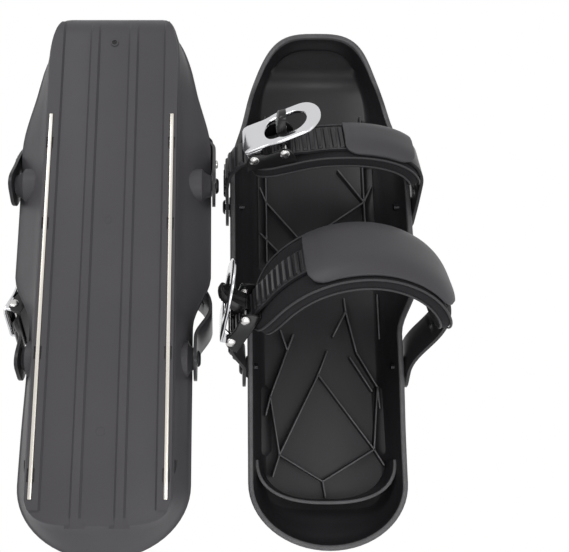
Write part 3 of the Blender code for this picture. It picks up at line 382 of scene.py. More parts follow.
SHELL = Moulded("shell_plastic_grained", "shell_plastic", (0.069, 0.066, 0.072), 0.50)
# The inside of the tray is a darker copy of the shell plastic: painted shade.
SHADED_TRAY = Moulded("tray_plastic_painted_shade", "shell_plastic", (0.020, 0.019, 0.021), 0.42)
STRAP = Moulded("strap_plastic_glossy", "strap_plastic", (0.028, 0.027, 0.030), 0.33, 900.0, 0.02 * MM, 0.1)
FRAME_BLACK = Moulded("buckle_plastic_glossy", "buckle_plastic", (0.012, 0.012, 0.013), 0.24, 900.0, 0.01 * MM)
COVER = Hide("cover_coated_sheet", "cover_leather", (0.070, 0.067, 0.073), 0.48)
PIPING = Hide("pad_piping_satin", "pad_foam", (0.055, 0.054, 0.058), 0.48)
FOAM = Knit("pad_knitted_foam", "pad_foam", (0.016, 0.0152, 0.0168), 0.85)
STRIP = Metal("runner_drawn_steel", "runner_steel", (0.60, 0.57, 0.52), 0.34, (1, 0.02, 1))
CHROME = Metal("lever_polished_chrome", "lever_chrome", (0.64, 0.64, 0.66), 0.13)
RIVET = Metal("rivet_domed_steel", "rivet_steel", (0.56, 0.55, 0.54), 0.24, (1, 1, 1), 0.04 * MM, 700.0)
SCREW = Metal("screw_blackened", "screw_black", (0.030, 0.030, 0.032), 0.40)


# Mesh toolkit


def ring_at(y: float, points: Iterable[tuple[float, float]], centre: float = 0.0, side: int = 1) -> Section:
    """A section across the board from pairs of x (from the centre, mirrored by side -1) and z."""
    return [Vector((centre + side * x, y, z)) for x, z in points]


def ringed(mesh: bmesh.types.BMesh, section: Section) -> tuple[Ring, Edges]:
    """The first ring of a sweep: its vertices and the edges between them."""
    ring = [bmesh.ops.create_vert(mesh, co=point)["vert"][0] for point in section]
    return ring, [mesh.edges.new(pair) for pair in zip(ring, ring[1:] + ring[:1])]


def grown(mesh: bmesh.types.BMesh, ring: Ring, edges: Edges, section: Section) -> tuple[Ring, Edges, Faces]:
    """Extrude a ring to the next section.

    Args:
        mesh: the mesh that holds the ring.
        ring: the ring's vertices, in order.
        edges: the edges between them.
        section: where the new vertices go, in the same order.

    Returns:
        The new ring, its edges and the faces between the two rings.
    """
    made = bmesh.ops.extrude_edge_only(mesh, edges=edges)["geom"]
    fresh = {item for item in made if isinstance(item, bmesh.types.BMVert)}
    following = []
    for old, point in zip(ring, section):
        new = next(edge.other_vert(old) for edge in old.link_edges if edge.other_vert(old) in fresh)
        new.co = point
        following.append(new)
    return (following, [item for item in made if isinstance(item, bmesh.types.BMEdge)],
            [item for item in made if isinstance(item, bmesh.types.BMFace)])


def sweep(sections: list[Section], closed: bool = False,
          mesh: bmesh.types.BMesh | None = None) -> bmesh.types.BMesh:
    """Extrude a section from place to place.

    Args:
        sections: rings of as many points each.
        closed: join the last ring to the first, instead of capping both.
        mesh: the mesh to add to, or None for a new one.

    Returns:
        The mesh.
    """
    mesh = mesh or bmesh.new()
    ring, edges = ringed(mesh, sections[0])
    first = list(edges)
    for section in sections[1:]:
        ring, edges, _ = grown(mesh, ring, edges, section)
    if closed:
        bmesh.ops.bridge_loops(mesh, edges=first + edges)
    else:
        bmesh.ops.edgeloop_fill(mesh, edges=first)
        bmesh.ops.edgeloop_fill(mesh, edges=edges)
    return mesh


def turned(profile: list[tuple[float, float]], sides: int, mesh: bmesh.types.BMesh | None = None,
           place: Matrix = Matrix.Identity(4)) -> bmesh.types.BMesh:
    """Turn a profile round Z.

    Args:
        profile: pairs of height and radius; radius 0 closes an end.
        sides: faces round the turn.
        mesh: the mesh to add to, or None for a new one.
        place: where the turned body goes.

    Returns:
        The mesh.
    """
    mesh = mesh or bmesh.new()
    known = set(mesh.verts)
    line = [bmesh.ops.create_vert(mesh, co=(radius, 0, height))["vert"][0] for height, radius in profile]
    edges = [mesh.edges.new(pair) for pair in zip(line, line[1:])]
    bmesh.ops.spin(mesh, geom=line + edges, angle=2 * math.pi, steps=sides, axis=(0, 0, 1),
                   cent=(0, 0, 0), use_merge=True)
    made = [vertex for vertex in mesh.verts if vertex not in known]
    bmesh.ops.transform(mesh, matrix=place, verts=made)
    bmesh.ops.remove_doubles(mesh, verts=made, dist=0.001 * MM)
    return mesh


def along(axis: str) -> Matrix:
    """The turn that lays Z along X or Y."""
    return {"x": Matrix.Rotation(math.pi / 2, 4, "Y"), "y": Matrix.Rotation(-math.pi / 2, 4, "X")}[axis]


def pierced(mesh: bmesh.types.BMesh, tool: bmesh.types.BMesh) -> bmesh.types.BMesh:
    """Cut one closed mesh out of another and give back the rest.

    Args:
        mesh: the body; it is used up.
        tool: what is cut away; it is used up.

    Returns:
        What is left of the body.
    """
    objects = []
    for label, part in (("body", mesh), ("tool", tool)):
        bmesh.ops.recalc_face_normals(part, faces=part.faces)
        data = bpy.data.meshes.new("cut_" + label)
        part.to_mesh(data)
        part.free()
        made = bpy.data.objects.new("cut_" + label, data)
        bpy.context.scene.collection.objects.link(made)
        objects.append(made)
    change = objects[0].modifiers.new("cut", "BOOLEAN")
    change.operation = "DIFFERENCE"
    change.solver = "EXACT"
    change.use_self = True
    change.object = objects[1]
    shown = objects[0].evaluated_get(bpy.context.evaluated_depsgraph_get())
    rest = bmesh.new()
    rest.from_mesh(shown.to_mesh())
    shown.to_mesh_clear()
    for made in objects:
        bpy.data.objects.remove(made)
    return rest


@dataclass(frozen=True)
class Edging:
    """How the edges and faces of a piece are finished."""

    bevel: float = 0.0
    segments: int = 2
    subdivide: int = 0
    crease_angle: float = 35.0


def publish(mesh: bmesh.types.BMesh, name: str, body: str, finish: Finish, place: Matrix,
            nodes: tuple[str, ...] = (), edging: Edging = Edging()) -> bpy.types.Object:
    """Finish a mesh as a piece of the scene.

    Args:
        mesh: the piece in its own frame; it is used up.
        name: the piece's name.
        body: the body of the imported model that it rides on.
        finish: its finish.
        place: from the piece's own frame to the model's.
        nodes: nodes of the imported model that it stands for.
        edging: its bevel and subdivision.

    Returns:
        The piece.
    """
    bmesh.ops.transform(mesh, matrix=place, verts=mesh.verts)
    bmesh.ops.recalc_face_normals(mesh, faces=mesh.faces)
    data = bpy.data.meshes.new(name)
    mesh.to_mesh(data)
    mesh.free()
    data.materials.append(finish.material())
    made = bpy.data.objects.new(name, data)
    bpy.context.scene.collection.objects.link(made)
    data.shade_smooth()
    if edging.bevel:
        change = made.modifiers.new("edge_round", "BEVEL")
        change.width = edging.bevel
        change.segments = edging.segments
        change.limit_method = "ANGLE"
        change.angle_limit = math.radians(edging.crease_angle)
    if edging.subdivide:
        change = made.modifiers.new("smooth", "SUBSURF")
        change.levels = edging.subdivide
        change.render_levels = edging.subdivide
    elif not edging.bevel:
        data.set_sharp_from_angle(angle=math.radians(edging.crease_angle))
    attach(made, body)
    if nodes:
        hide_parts(*nodes)
    LOG.info("%s rides on %s, %d faces", name, body, len(data.polygons))
    return made


# The boards


@dataclass(frozen=True)
class Tray:
    """The plan, heights and walls of a board, from its own middle."""

    tip_y: float = 222.0 * MM
    tail_y: float = -210.0 * MM
    nose_cap: float = 72.0 * MM
    tail_cap: float = 50.0 * MM
    tail_half: float = 62.3 * MM
    waist_half: float = 75.9 * MM
    shoulder_half: float = 63.5 * MM
    nose_half: float = 51.0 * MM
    heel_taper: tuple[float, float] = (-44.0 * MM, -4.0 * MM)
    nose_taper: float = 96.0 * MM
    shoulder_y: float = 150.0 * MM
    base_half_width: float = 51.5 * MM
    base_nose_cap: float = 66.0 * MM
    base_tail_cap: float = 36.0 * MM
    base_tail_inset: float = 24.0 * MM
    panel_lift: float = 2.2 * MM
    keel_lift: float = 0.5 * MM
    floor: float = 2.6 * MM
    wall: float = 3.0 * MM
    lip_out: float = 1.5 * MM
    lip_depth: float = 4.6 * MM
    lip_width: float = 4.2 * MM
    bottom_round: float = 2.4 * MM
    lip_ring: int = 10
    bend_y: float = 185.0 * MM
    bend_radius: float = 22.0 * MM
    bend_slope: float = math.radians(58.0)
    heights: tuple[tuple[float, float], ...] = (
        (-210.0 * MM, 30.0 * MM), (-127.0 * MM, 33.0 * MM), (-69.0 * MM, 39.0 * MM), (77.0 * MM, 39.0 * MM),
        (150.0 * MM, 30.0 * MM), (185.0 * MM, 31.5 * MM), (222.0 * MM, 45.0 * MM))

    def rim_half(self, y: float) -> float:
        """Half the rim's width at y, the round of the ends left out.

        Args:
            y: the place along the board.

        Returns:
            The half width.
        """
        heel = self.tail_half + (self.waist_half - self.tail_half) * eased(y, *self.heel_taper)
        front = [(self.nose_taper, self.waist_half), (self.shoulder_y, self.shoulder_half),
                 (self.tip_y, self.nose_half)]
        return heel if y < self.nose_taper else through(front, y)

    def rim_height(self, y: float) -> float:
        """The rim's height at y."""
        return through(list(self.heights), y)

    def curl(self, y: float) -> float:
        """How far the running surface has curled up at y.

        Args:
            y: the place along the board.

        Returns:
            The rise over the flat part of the running surface.
        """
        bend = self.bend_radius * math.sin(self.bend_slope)
        run = y - self.bend_y
        if run <= 0:
            return 0.0
        if run < bend:
            return self.bend_radius - math.sqrt(self.bend_radius ** 2 - run ** 2)
        return self.bend_radius * (1 - math.cos(self.bend_slope)) + (run - bend) * math.tan(self.bend_slope)

    def floor_rise(self, y: float) -> float:
        """The floor's height over the running surface, more where it slopes.

        Args:
            y: the place along the board.

        Returns:
            The height.
        """
        bend = self.bend_radius * math.sin(self.bend_slope)
        run = min(max(y - self.bend_y, 0.0), bend)
        return self.floor / math.cos(math.asin(run / self.bend_radius))

    def base_half(self, y: float) -> float:
        """Half the base's width at y, with the round of the nose.

        Args:
            y: the place along the board.

        Returns:
            The half width.
        """
        start = self.tip_y - self.nose_cap
        if y <= start:
            return self.base_half_width
        share = min((y - start) / self.base_nose_cap, 1.0)
        return self.base_half_width * (1 - share ** 3) ** (1 / 3)

    def half_plan(self) -> tuple[Section, Section]:
        """Matched points of the rim and of the base, tail to nose, on the +x side.

        Returns:
            The rim's points and the base's points, as many of each.
        """
        rim, base = [], []

        def cap(angle: float, half: float, length: float, power: float) -> tuple[float, float]:
            """A point on a rounded end: how far aside, and how far along."""
            return half * math.sin(angle) ** (2 / power), length * math.cos(angle) ** (2 / power)

        for angle in spread(0, math.pi / 2, 16):
            x, reach = cap(angle, self.tail_half, self.tail_cap, 2)
            rim.append(Vector((x, self.tail_y + self.tail_cap - reach, 0)))
            x, reach = cap(angle, self.base_half_width, self.base_tail_cap, 4)
            base.append(Vector((x, self.tail_y + self.base_tail_inset + self.base_tail_cap - reach, 0)))
        rim_start = self.tail_y + self.tail_cap
        base_start = self.tail_y + self.base_tail_inset + self.base_tail_cap
        nose_start = self.tip_y - self.nose_cap
        for share in spread(0.0, 1.0, 56)[1:-1]:
            y = rim_start + (nose_start - rim_start) * share
            rim.append(Vector((self.rim_half(y), y, 0)))
            base.append(Vector((self.base_half_width, base_start + (nose_start - base_start) * share, 0)))
        for angle in reversed(spread(0, math.pi / 2, 20)):
            share, reach = cap(angle, 1.0, self.nose_cap, 3)
            y = self.tip_y - self.nose_cap + reach
            rim.append(Vector((share * self.rim_half(y), y, 0)))
            x, reach = cap(angle, self.base_half_width, self.base_nose_cap, 3)
            base.append(Vector((x, self.tip_y - self.nose_cap + reach, 0)))
        return rim, base

    @staticmethod
    def inset(outline: Section, distance: float) -> Section:
        """A half outline moved inward, square to its own line.

        Args:
            outline: points from tail to nose on the +x side.
            distance: how far they move.

        Returns:
            The moved points; both ends stay on the middle line.
        """
        moved = []
        for index, point in enumerate(outline):
            before = outline[index - 1] if index else Vector((-outline[1].x, outline[1].y, 0))
            last = Vector((-outline[-2].x, outline[-2].y, 0))
            after = outline[index + 1] if index < len(outline) - 1 else last
            tangent = (after - before).normalized()
            moved.append(point + Vector((-tangent.y, tangent.x, 0)) * distance)
        moved[0].x = 0
        moved[-1].x = 0
        return moved

    def rings(self) -> list[Section]:
        """Rings of half outlines: from under the base, over the lip, down to the floor.

        Returns:
            The rings, each from tail to nose on the +x side.
        """
        rim, base = self.half_plan()

        def level(points: Section, lift: float, floor: bool = False) -> Section:
            """A ring that follows the curled base."""
            return [Vector((p.x, p.y, self.panel_lift + self.curl(p.y) + lift
                            + (self.floor_rise(p.y) if floor else 0.0))) for p in points]

        def lip(distance: float, drop: float) -> Section:
            """A ring on the lip, under the rim's top."""
            return [Vector((p.x, p.y, self.rim_height(p.y) - drop)) for p in self.inset(rim, distance)]

        def side(share: float, thickness: float, low: float) -> Section:
            """A ring between the base and the lip.

            Args:
                share: 0 at the base, 1 at the rim.
                thickness: how far inside the outer face.
                low: the base ring's height over the running surface.

            Returns:
                One ring on the side wall.
            """
            points = []
            for a, b in zip(self.inset(base, thickness), self.inset(rim, thickness + self.lip_out)):
                z0 = self.panel_lift + self.curl(a.y) + low
                z1 = self.rim_height(b.y) - self.lip_depth
                points.append(Vector((*a.lerp(b, share).xy, z0 + (z1 - z0) * share)))
            return points

        turn = self.bottom_round
        return [
            level(self.inset(base, turn), 0.0),
            level(self.inset(base, turn * 0.45), turn * 0.12),
            level(self.inset(base, turn * 0.1), turn * 0.5),
            side(0.02, 0.0, turn), side(0.25, 0.0, turn), side(0.5, 0.0, turn), side(0.75, 0.0, turn),
            side(0.97, 0.0, turn), side(1.0, -0.2 * MM, turn),
            lip(0.35 * MM, self.lip_depth - 0.5 * MM), lip(0.0, self.lip_depth - 1.2 * MM),
            lip(0.0, 1.1 * MM), lip(0.35 * MM, 0.35 * MM), lip(1.1 * MM, 0.0),
            lip(self.lip_width - 1.0 * MM, 0.0), lip(self.lip_width - 0.3 * MM, 0.3 * MM),
            lip(self.lip_width, 1.0 * MM),
            side(0.97, self.wall, turn), side(0.7, self.wall, turn), side(0.4, self.wall, turn),
            side(0.15, self.wall, turn),
            level(self.inset(base, self.wall + turn * 0.35), turn * 0.55, True),
            level(self.inset(base, self.wall + turn), 0.0, True),
        ]

    def shell(self) -> bmesh.types.BMesh:
        """The hollow shell with its lip and floor; from the lip inward it takes the second material.

        Returns:
            The shell.
        """
        first, *others = (half + [Vector((-p.x, p.y, p.z)) for p in reversed(half[1:-1])]
                          for half in self.rings())
        mesh = bmesh.new()
        ring, edges = ringed(mesh, first)
        self.close_across(mesh, ring)
        for number, section in enumerate(others, start=1):
            ring, edges, faces = grown(mesh, ring, edges, section)
            for face in faces:
                face.material_index = int(number >= self.lip_ring)
        for face in self.close_across(mesh, ring):
            face.material_index = 1
        return mesh

    @staticmethod
    def close_across(mesh: bmesh.types.BMesh, ring: list[bmesh.types.BMVert]) -> list[bmesh.types.BMFace]:
        """Fill a mirrored ring with faces that run straight across the board, and give them back.

        Args:
            mesh: the mesh that holds the ring.
            ring: a ring that is the same on both sides of the middle.

        Returns:
            The faces.
        """
        count = len(ring)
        half = count // 2
        corners = [[ring[0], ring[1], ring[-1]], [ring[half - 1], ring[half], ring[half + 1]]]
        corners += [[ring[index], ring[index + 1], ring[count - index - 1], ring[count - index]]
                    for index in range(1, half - 1)]
        return [face for geom in corners for face in bmesh.ops.contextual_create(mesh, geom=geom)["faces"]]


@dataclass(frozen=True)
class Underside:
    """Keels, rails and steel strips under the base."""

    tray: Tray
    ridge_x: float = 15.1 * MM
    ridge_top: float = 2.6 * MM
    ridge_root: float = 4.6 * MM
    ridge_ends: tuple[float, float] = (-180.0 * MM, 204.0 * MM)
    ridge_ramp: float = 7.0 * MM
    ridge_flare: float = 2.6 * MM
    ridge_sunk: float = 1.9 * MM
    ridge_fade: tuple[float, float] = (176.0 * MM, 204.0 * MM)
    rail_inner: float = 40.3 * MM
    rail_slope: float = 1.8 * MM
    rail_edge: float = 0.8 * MM
    rail_tail: float = -175.0 * MM
    strip_x: float = 46.2 * MM
    strip_width: float = 2.6 * MM
    strip_thick: float = 1.5 * MM
    strip_ends: tuple[float, float] = (-168.0 * MM, 115.6 * MM)
    clip_ys: tuple[float, ...] = (-152.0 * MM, -68.0 * MM, 28.0 * MM, 92.0 * MM)
    clip_length: float = 9.0 * MM
    lug_half: float = 3.0 * MM
    clip_width: float = 5.4 * MM
    gap: float = 0.3 * MM

    def root(self, y: float) -> float:
        """A height just inside the shell at y."""
        return self.tray.panel_lift + self.tray.curl(y) + 0.4 * MM

    def keel(self, y: float) -> float:
        """The height of the keels' soles at y."""
        return self.tray.keel_lift + self.tray.curl(y)

    def stations(self, low: float, high: float) -> list[float]:
        """Places along the board, closer together where the nose curls."""
        bend = self.tray.bend_y
        return [low] + spread(max(low, self.tray.nose_taper), bend, 8)[1:] + spread(bend, high, 8)[1:]

    def ridges(self, mesh: bmesh.types.BMesh) -> None:
        """Two low ridges with ramps that widen at the tail.

        Args:
            mesh: the mesh that they are added to.
        """
        low, high = self.ridge_ends
        ramp = low - self.ridge_ramp
        fade = self.tray.panel_lift - self.tray.keel_lift
        marks = [(ramp, self.ridge_flare, self.keel(ramp) + self.ridge_sunk), (low, 0.0, self.keel(low))]
        marks += [(y, 0.0, self.keel(y) + fade * eased(y, *self.ridge_fade))
                  for y in self.stations(low, high)[1:]]
        for side in (-1, 1):
            sections = []
            for y, flare, sole in marks:
                foot, top, root = self.ridge_root + flare, self.ridge_top + flare * 0.3, self.root(y)
                sections.append(ring_at(y, ((-foot, root), (-top, sole), (top, sole), (foot, root)),
                                        side * self.ridge_x))
            sweep(sections, mesh=mesh)

    def rails(self, mesh: bmesh.types.BMesh) -> None:
        """Each rail as an outer and an inner bar, set back at the clip windows.

        Args:
            mesh: the mesh that they are added to.
        """
        start = self.tray.tip_y - self.tray.nose_cap
        share = (1 - ((self.rail_inner + 4.0 * MM) / self.tray.base_half_width) ** 3) ** (1 / 3)
        nose = start + self.tray.base_nose_cap * share
        slot_low, slot_high = self.strip_ends
        half = self.strip_width / 2 + self.gap
        for side in (-1, 1):
            marks = [(slot_low - self.gap, 0.0), (slot_low - self.gap + 0.01 * MM, half)]
            for y in self.clip_ys:
                for edge in (-1, 1):
                    place = y + edge * self.clip_length / 2
                    inner = (half, self.clip_width / 2) if edge < 0 else (self.clip_width / 2, half)
                    marks += [(place, inner[0]), (place + 0.01 * MM, inner[1])]
            marks += [(slot_high + self.gap, half), (slot_high + self.gap + 0.01 * MM, 0.0)]
            marks = [(self.rail_tail, 0.0)] + marks
            for y in self.stations(slot_high + 2 * MM, nose)[1:]:
                marks.append((y, 0.0))
            for bar in ("inner", "outer"):
                sections = []
                for y, clear in marks:
                    edge = self.tray.base_half(y) - self.rail_edge - (2.5 * MM if y == self.rail_tail else 0.0)
                    middle = min(self.strip_x, edge - 1.6 * MM)
                    if bar == "inner":
                        xs = (self.rail_inner - self.rail_slope, self.rail_inner,
                              middle - clear, middle - clear)
                    else:
                        xs = (middle + clear, middle + clear, edge - self.rail_edge, edge)
                    zs = (self.root(y), self.keel(y), self.keel(y), self.root(y))
                    sections.append(ring_at(y, zip(xs, zs), side=side))
                sweep(sections, mesh=mesh)

    def strip(self, side: int) -> bmesh.types.BMesh:
        """One steel strip.

        Args:
            side: -1 or 1, the side of the board.

        Returns:
            The strip.
        """
        low, high = self.strip_ends
        half, thick = self.strip_width / 2, self.strip_thick
        places = [low] + [y + edge * self.lug_half for y in self.clip_ys for edge in (-1, 1)] + [high]
        points = ((-half, 0.0), (half, 0.0), (half, thick), (-half, thick))
        return sweep([ring_at(y, points, side * self.strip_x) for y in places])


@dataclass(frozen=True)
class Ribbing:
    """Ribs on the tray floor and the low wall behind the heel."""

    tray: Tray
    thick: float = 2.0 * MM
    height: float = 7.0 * MM
    foot: float = 1.15
    crest: float = 0.62
    channel_runs: tuple[tuple[float, float], ...] = ((-143.0 * MM, -78.0 * MM), (12.0 * MM, 116.0 * MM))
    channel_ramp: float = 8.0 * MM
    channel_rise: float = 4.2 * MM
    channel_width: float = 9.0 * MM
    heel_y: float = -175.0 * MM
    heel_half: float = 50.5 * MM
    heel_depth: float = 33.0 * MM
    heel_thick: float = 3.4 * MM
    heel_top: float = 22.0 * MM
    heel_flare: float = 0.09
    nodes: dict[str, tuple[float, float]] = field(default_factory=lambda: {
        "a": (-35.9, -138.5), "b": (-1.6, -159.3), "c": (40.9, -134.2), "d": (-2.7, -73.8),
        "e": (-42.7, -91.7), "f": (46.0, -84.0), "g": (22.2, -20.7), "h": (-27.9, -53.6),
        "i": (-43.9, 77.1), "j": (10.1, 55.7), "k": (42.0, 77.4), "a2": (-41.5, -155.0),
        "b2": (0.1, -171.0), "c2": (48.0, -146.0), "d2": (5.2, -54.6), "e2": (-46.5, -106.2),
        "h2": (-33.1, -37.1), "h3": (-22.7, -40.5), "g2": (21.2, -9.8), "g3": (10.8, -41.3),
        "g4": (30.0, -55.6), "f2": (47.0, -100.5), "s": (24.4, -59.7), "s2": (41.0, -86.8),
        "i0": (-43.9, 158.0), "i2": (-49.0, 90.2), "i3": (-16.1, 44.0), "l": (-49.0, 48.5),
        "l2": (-29.8, 27.4), "i4": (-43.9, 24.0), "k0": (42.0, 158.0), "k2": (20.4, 106.7),
        "k3": (49.0, 92.0), "k4": (42.0, 54.8), "m": (49.4, -6.3), "m2": (49.4, -43.0)})
    lines: str = ("a b,b c,a d,a e,a a2,b b2,c f,c d,c c2,d d2,e e2,e h,h h2,h h3,g g2,g g3,g g4,g4 f,f f2,"
                  "s s2,i i0,i i2,i i3,i i4,l l2,j k,k k0,k k2,k k3,k k4,m m2")

    def sunk(self) -> float:
        """A height inside the floor, at which everything on it is rooted."""
        return self.tray.panel_lift + self.tray.floor * 0.6

    def ribs(self) -> bmesh.types.BMesh:
        """Every rib as a bar that narrows upward.

        Returns:
            The ribs.
        """
        mesh = bmesh.new()
        low, high = self.sunk(), self.tray.panel_lift + self.tray.floor + self.height
        for line in self.lines.split(","):
            start, end = (Vector((*self.nodes[key], 0)) * MM for key in line.split())
            run = (end - start).normalized()
            side = Vector((-run.y, run.x, 0)) * self.thick / 2
            corners = ((self.foot, low), (self.crest, high), (-self.crest, high), (-self.foot, low))
            sweep([[place + side * width + Vector((0, 0, z)) for width, z in corners]
                   for place in (start - run * MM, end + run * MM)], mesh=mesh)
        return mesh

    def channels(self) -> bmesh.types.BMesh:
        """Sloped panels along the floor's edges, over the strips' lugs.

        Returns:
            The four panels.
        """
        mesh = bmesh.new()
        base = self.sunk()
        for low, high in self.channel_runs:
            near, far = low + self.channel_ramp, high - self.channel_ramp
            for side in (-1, 1):
                sections = []
                for y, share in ((low, 0.15), (near, 1.0), (far, 1.0), (high, 0.15)):
                    top = base + 1.4 * MM + self.channel_rise * share
                    points = ((49.0 * MM - self.channel_width * share, base), (50.4 * MM, top),
                              (51.2 * MM, top - 0.3 * MM), (50.0 * MM, base))
                    sections.append(ring_at(y, points, side=side))
                sweep(sections, mesh=mesh)
        return mesh

    def heel(self) -> bmesh.types.BMesh:
        """The curved wall behind the heel.

        Returns:
            The wall.
        """
        sections = []
        low = Vector((0, 0, self.sunk()))
        for angle in spread(-math.pi / 2, math.pi / 2, 40):
            x = self.heel_half * math.copysign(abs(math.sin(angle)) ** 0.8, angle)
            y = self.heel_y + self.heel_depth * (1 - max(math.cos(angle), 0.0) ** 0.8)
            out = Vector((math.sin(angle), -math.cos(angle), 0)) * self.heel_thick / 2
            top = Vector((x * self.heel_flare, 0, self.heel_top))
            middle = Vector((x, y, 0))
            sections.append([middle + out + low, middle + out * 0.8 + top, middle - out * 0.8 + top,
                             middle - out + low])
        return sweep(sections)


# The straps


@dataclass
class Arch:
    """The line of a strap over the boot, in its own plane: x across the board, z outward."""

    half: float
    buckle: tuple[float, float]
    slope: float
    top: tuple[float, float]
    side: tuple[float, float]
    sway: float = 0.0
    tail: float = 14.0 * MM
    hub: float = 8.0 * MM
    run: float = 21.0 * MM
    steps: int = 40

    def __post_init__(self) -> None:
        """Work out the points of the line and the lengths along it."""
        lean = Vector((math.cos(self.slope), 0, math.sin(self.slope))) * self.run
        middle = Vector((self.buckle[0], 0, self.buckle[1]))
        start, end = middle - lean, middle + lean
        tilt = math.degrees(self.slope)
        knots = [(-self.half, -self.tail, 90.0), (-self.half, self.hub, 90.0), (start.x, start.z, tilt),
                 (end.x, end.z, tilt), (*self.top, 0.0), (*self.side, -88.0), (self.half, self.hub, -90.0),
                 (self.half, -self.tail, -90.0)]
        self.points: list[Vector] = []
        marks = []
        for a, b in zip(knots, knots[1:]):
            marks.append(len(self.points))
            p = Vector((a[0], 0, a[1]))
            q = Vector((b[0], 0, b[1]))
            reach = 0.37 * (q - p).length
            leave = p + reach * Vector((math.cos(math.radians(a[2])), 0, math.sin(math.radians(a[2]))))
            arrive = q - reach * Vector((math.cos(math.radians(b[2])), 0, math.sin(math.radians(b[2]))))
            for step in range(self.steps):
                t = step / self.steps
                u = 1 - t
                self.points.append(u ** 3 * p + 3 * u * u * t * leave + 3 * u * t * t * arrive + t ** 3 * q)
        marks.append(len(self.points))
        self.points.append(Vector((self.half, 0, -self.tail)))
        self.lengths = [0.0]
        for a, b in zip(self.points, self.points[1:]):
            self.lengths.append(self.lengths[-1] + (b - a).length)
        self.knots = [self.lengths[index] for index in marks]
        self.total = self.lengths[-1]

    def place(self, length: float) -> tuple[Vector, Vector]:
        """The point and the unit tangent at a length along the line.

        Args:
            length: the length from the start.

        Returns:
            The point and the tangent.
        """
        length = min(max(length, 0.0), self.total)
        low, high = 0, len(self.lengths) - 1
        while high - low > 1:
            middle = (low + high) // 2
            if self.lengths[middle] <= length:
                low = middle
            else:
                high = middle
        share = (length - self.lengths[low]) / (self.lengths[high] - self.lengths[low])
        return (self.points[low].lerp(self.points[high], share),
                self._tangent(low).lerp(self._tangent(high), share).normalized())

    def _tangent(self, index: int) -> Vector:
        """The line's direction at one of its points.

        Args:
            index: which point.

        Returns:
            The unit tangent.
        """
        low = max(index - 1, 0)
        high = min(index + 1, len(self.points) - 1)
        return (self.points[high] - self.points[low]).normalized()

    def aside(self, length: float) -> float:
        """How far the strap is moved aside at a length along it."""
        hub, start, end, apex = self.knots[1:5]
        return self.sway * (eased(length, hub, start) - eased(length, end, apex))

    def at(self, length: float, across: float, out: float) -> Vector:
        """A point off the line, across the strap and outward from it.

        Args:
            length: the length along the line.
            across: how far across.
            out: how far outward.

        Returns:
            The point.
        """
        point, tangent = self.place(length)
        normal = Vector((-tangent.z, 0, tangent.x))
        return point + normal * out + Vector((0, across + self.aside(length), 0))

    def frame_at(self, length: float, out: float = 0.0) -> Matrix:
        """A frame on the strap: x along it, y across, z outward.

        Args:
            length: the length along the line.
            out: how far outward.

        Returns:
            The frame.
        """
        tangent = self.place(length)[1]
        turn = Matrix.Rotation(-math.atan2(tangent.z, tangent.x), 4, "Y")
        return Matrix.Translation(self.at(length, 0.0, out)) @ turn


def rounded_end(length: float, start: float, end: float, radius: float) -> float:
    """A share of full width that rounds off near both ends.

    Args:
        length: the place.
        start: where the piece begins.
        end: where it ends.
        radius: how far from an end the rounding reaches.

    Returns:
        The share, from 0 to 1.
    """
    near = min(length - start, end - length)
    if near >= radius:
        return 1.0
    return math.sqrt(max(1 - (1 - near / radius) ** 2, 0.0))


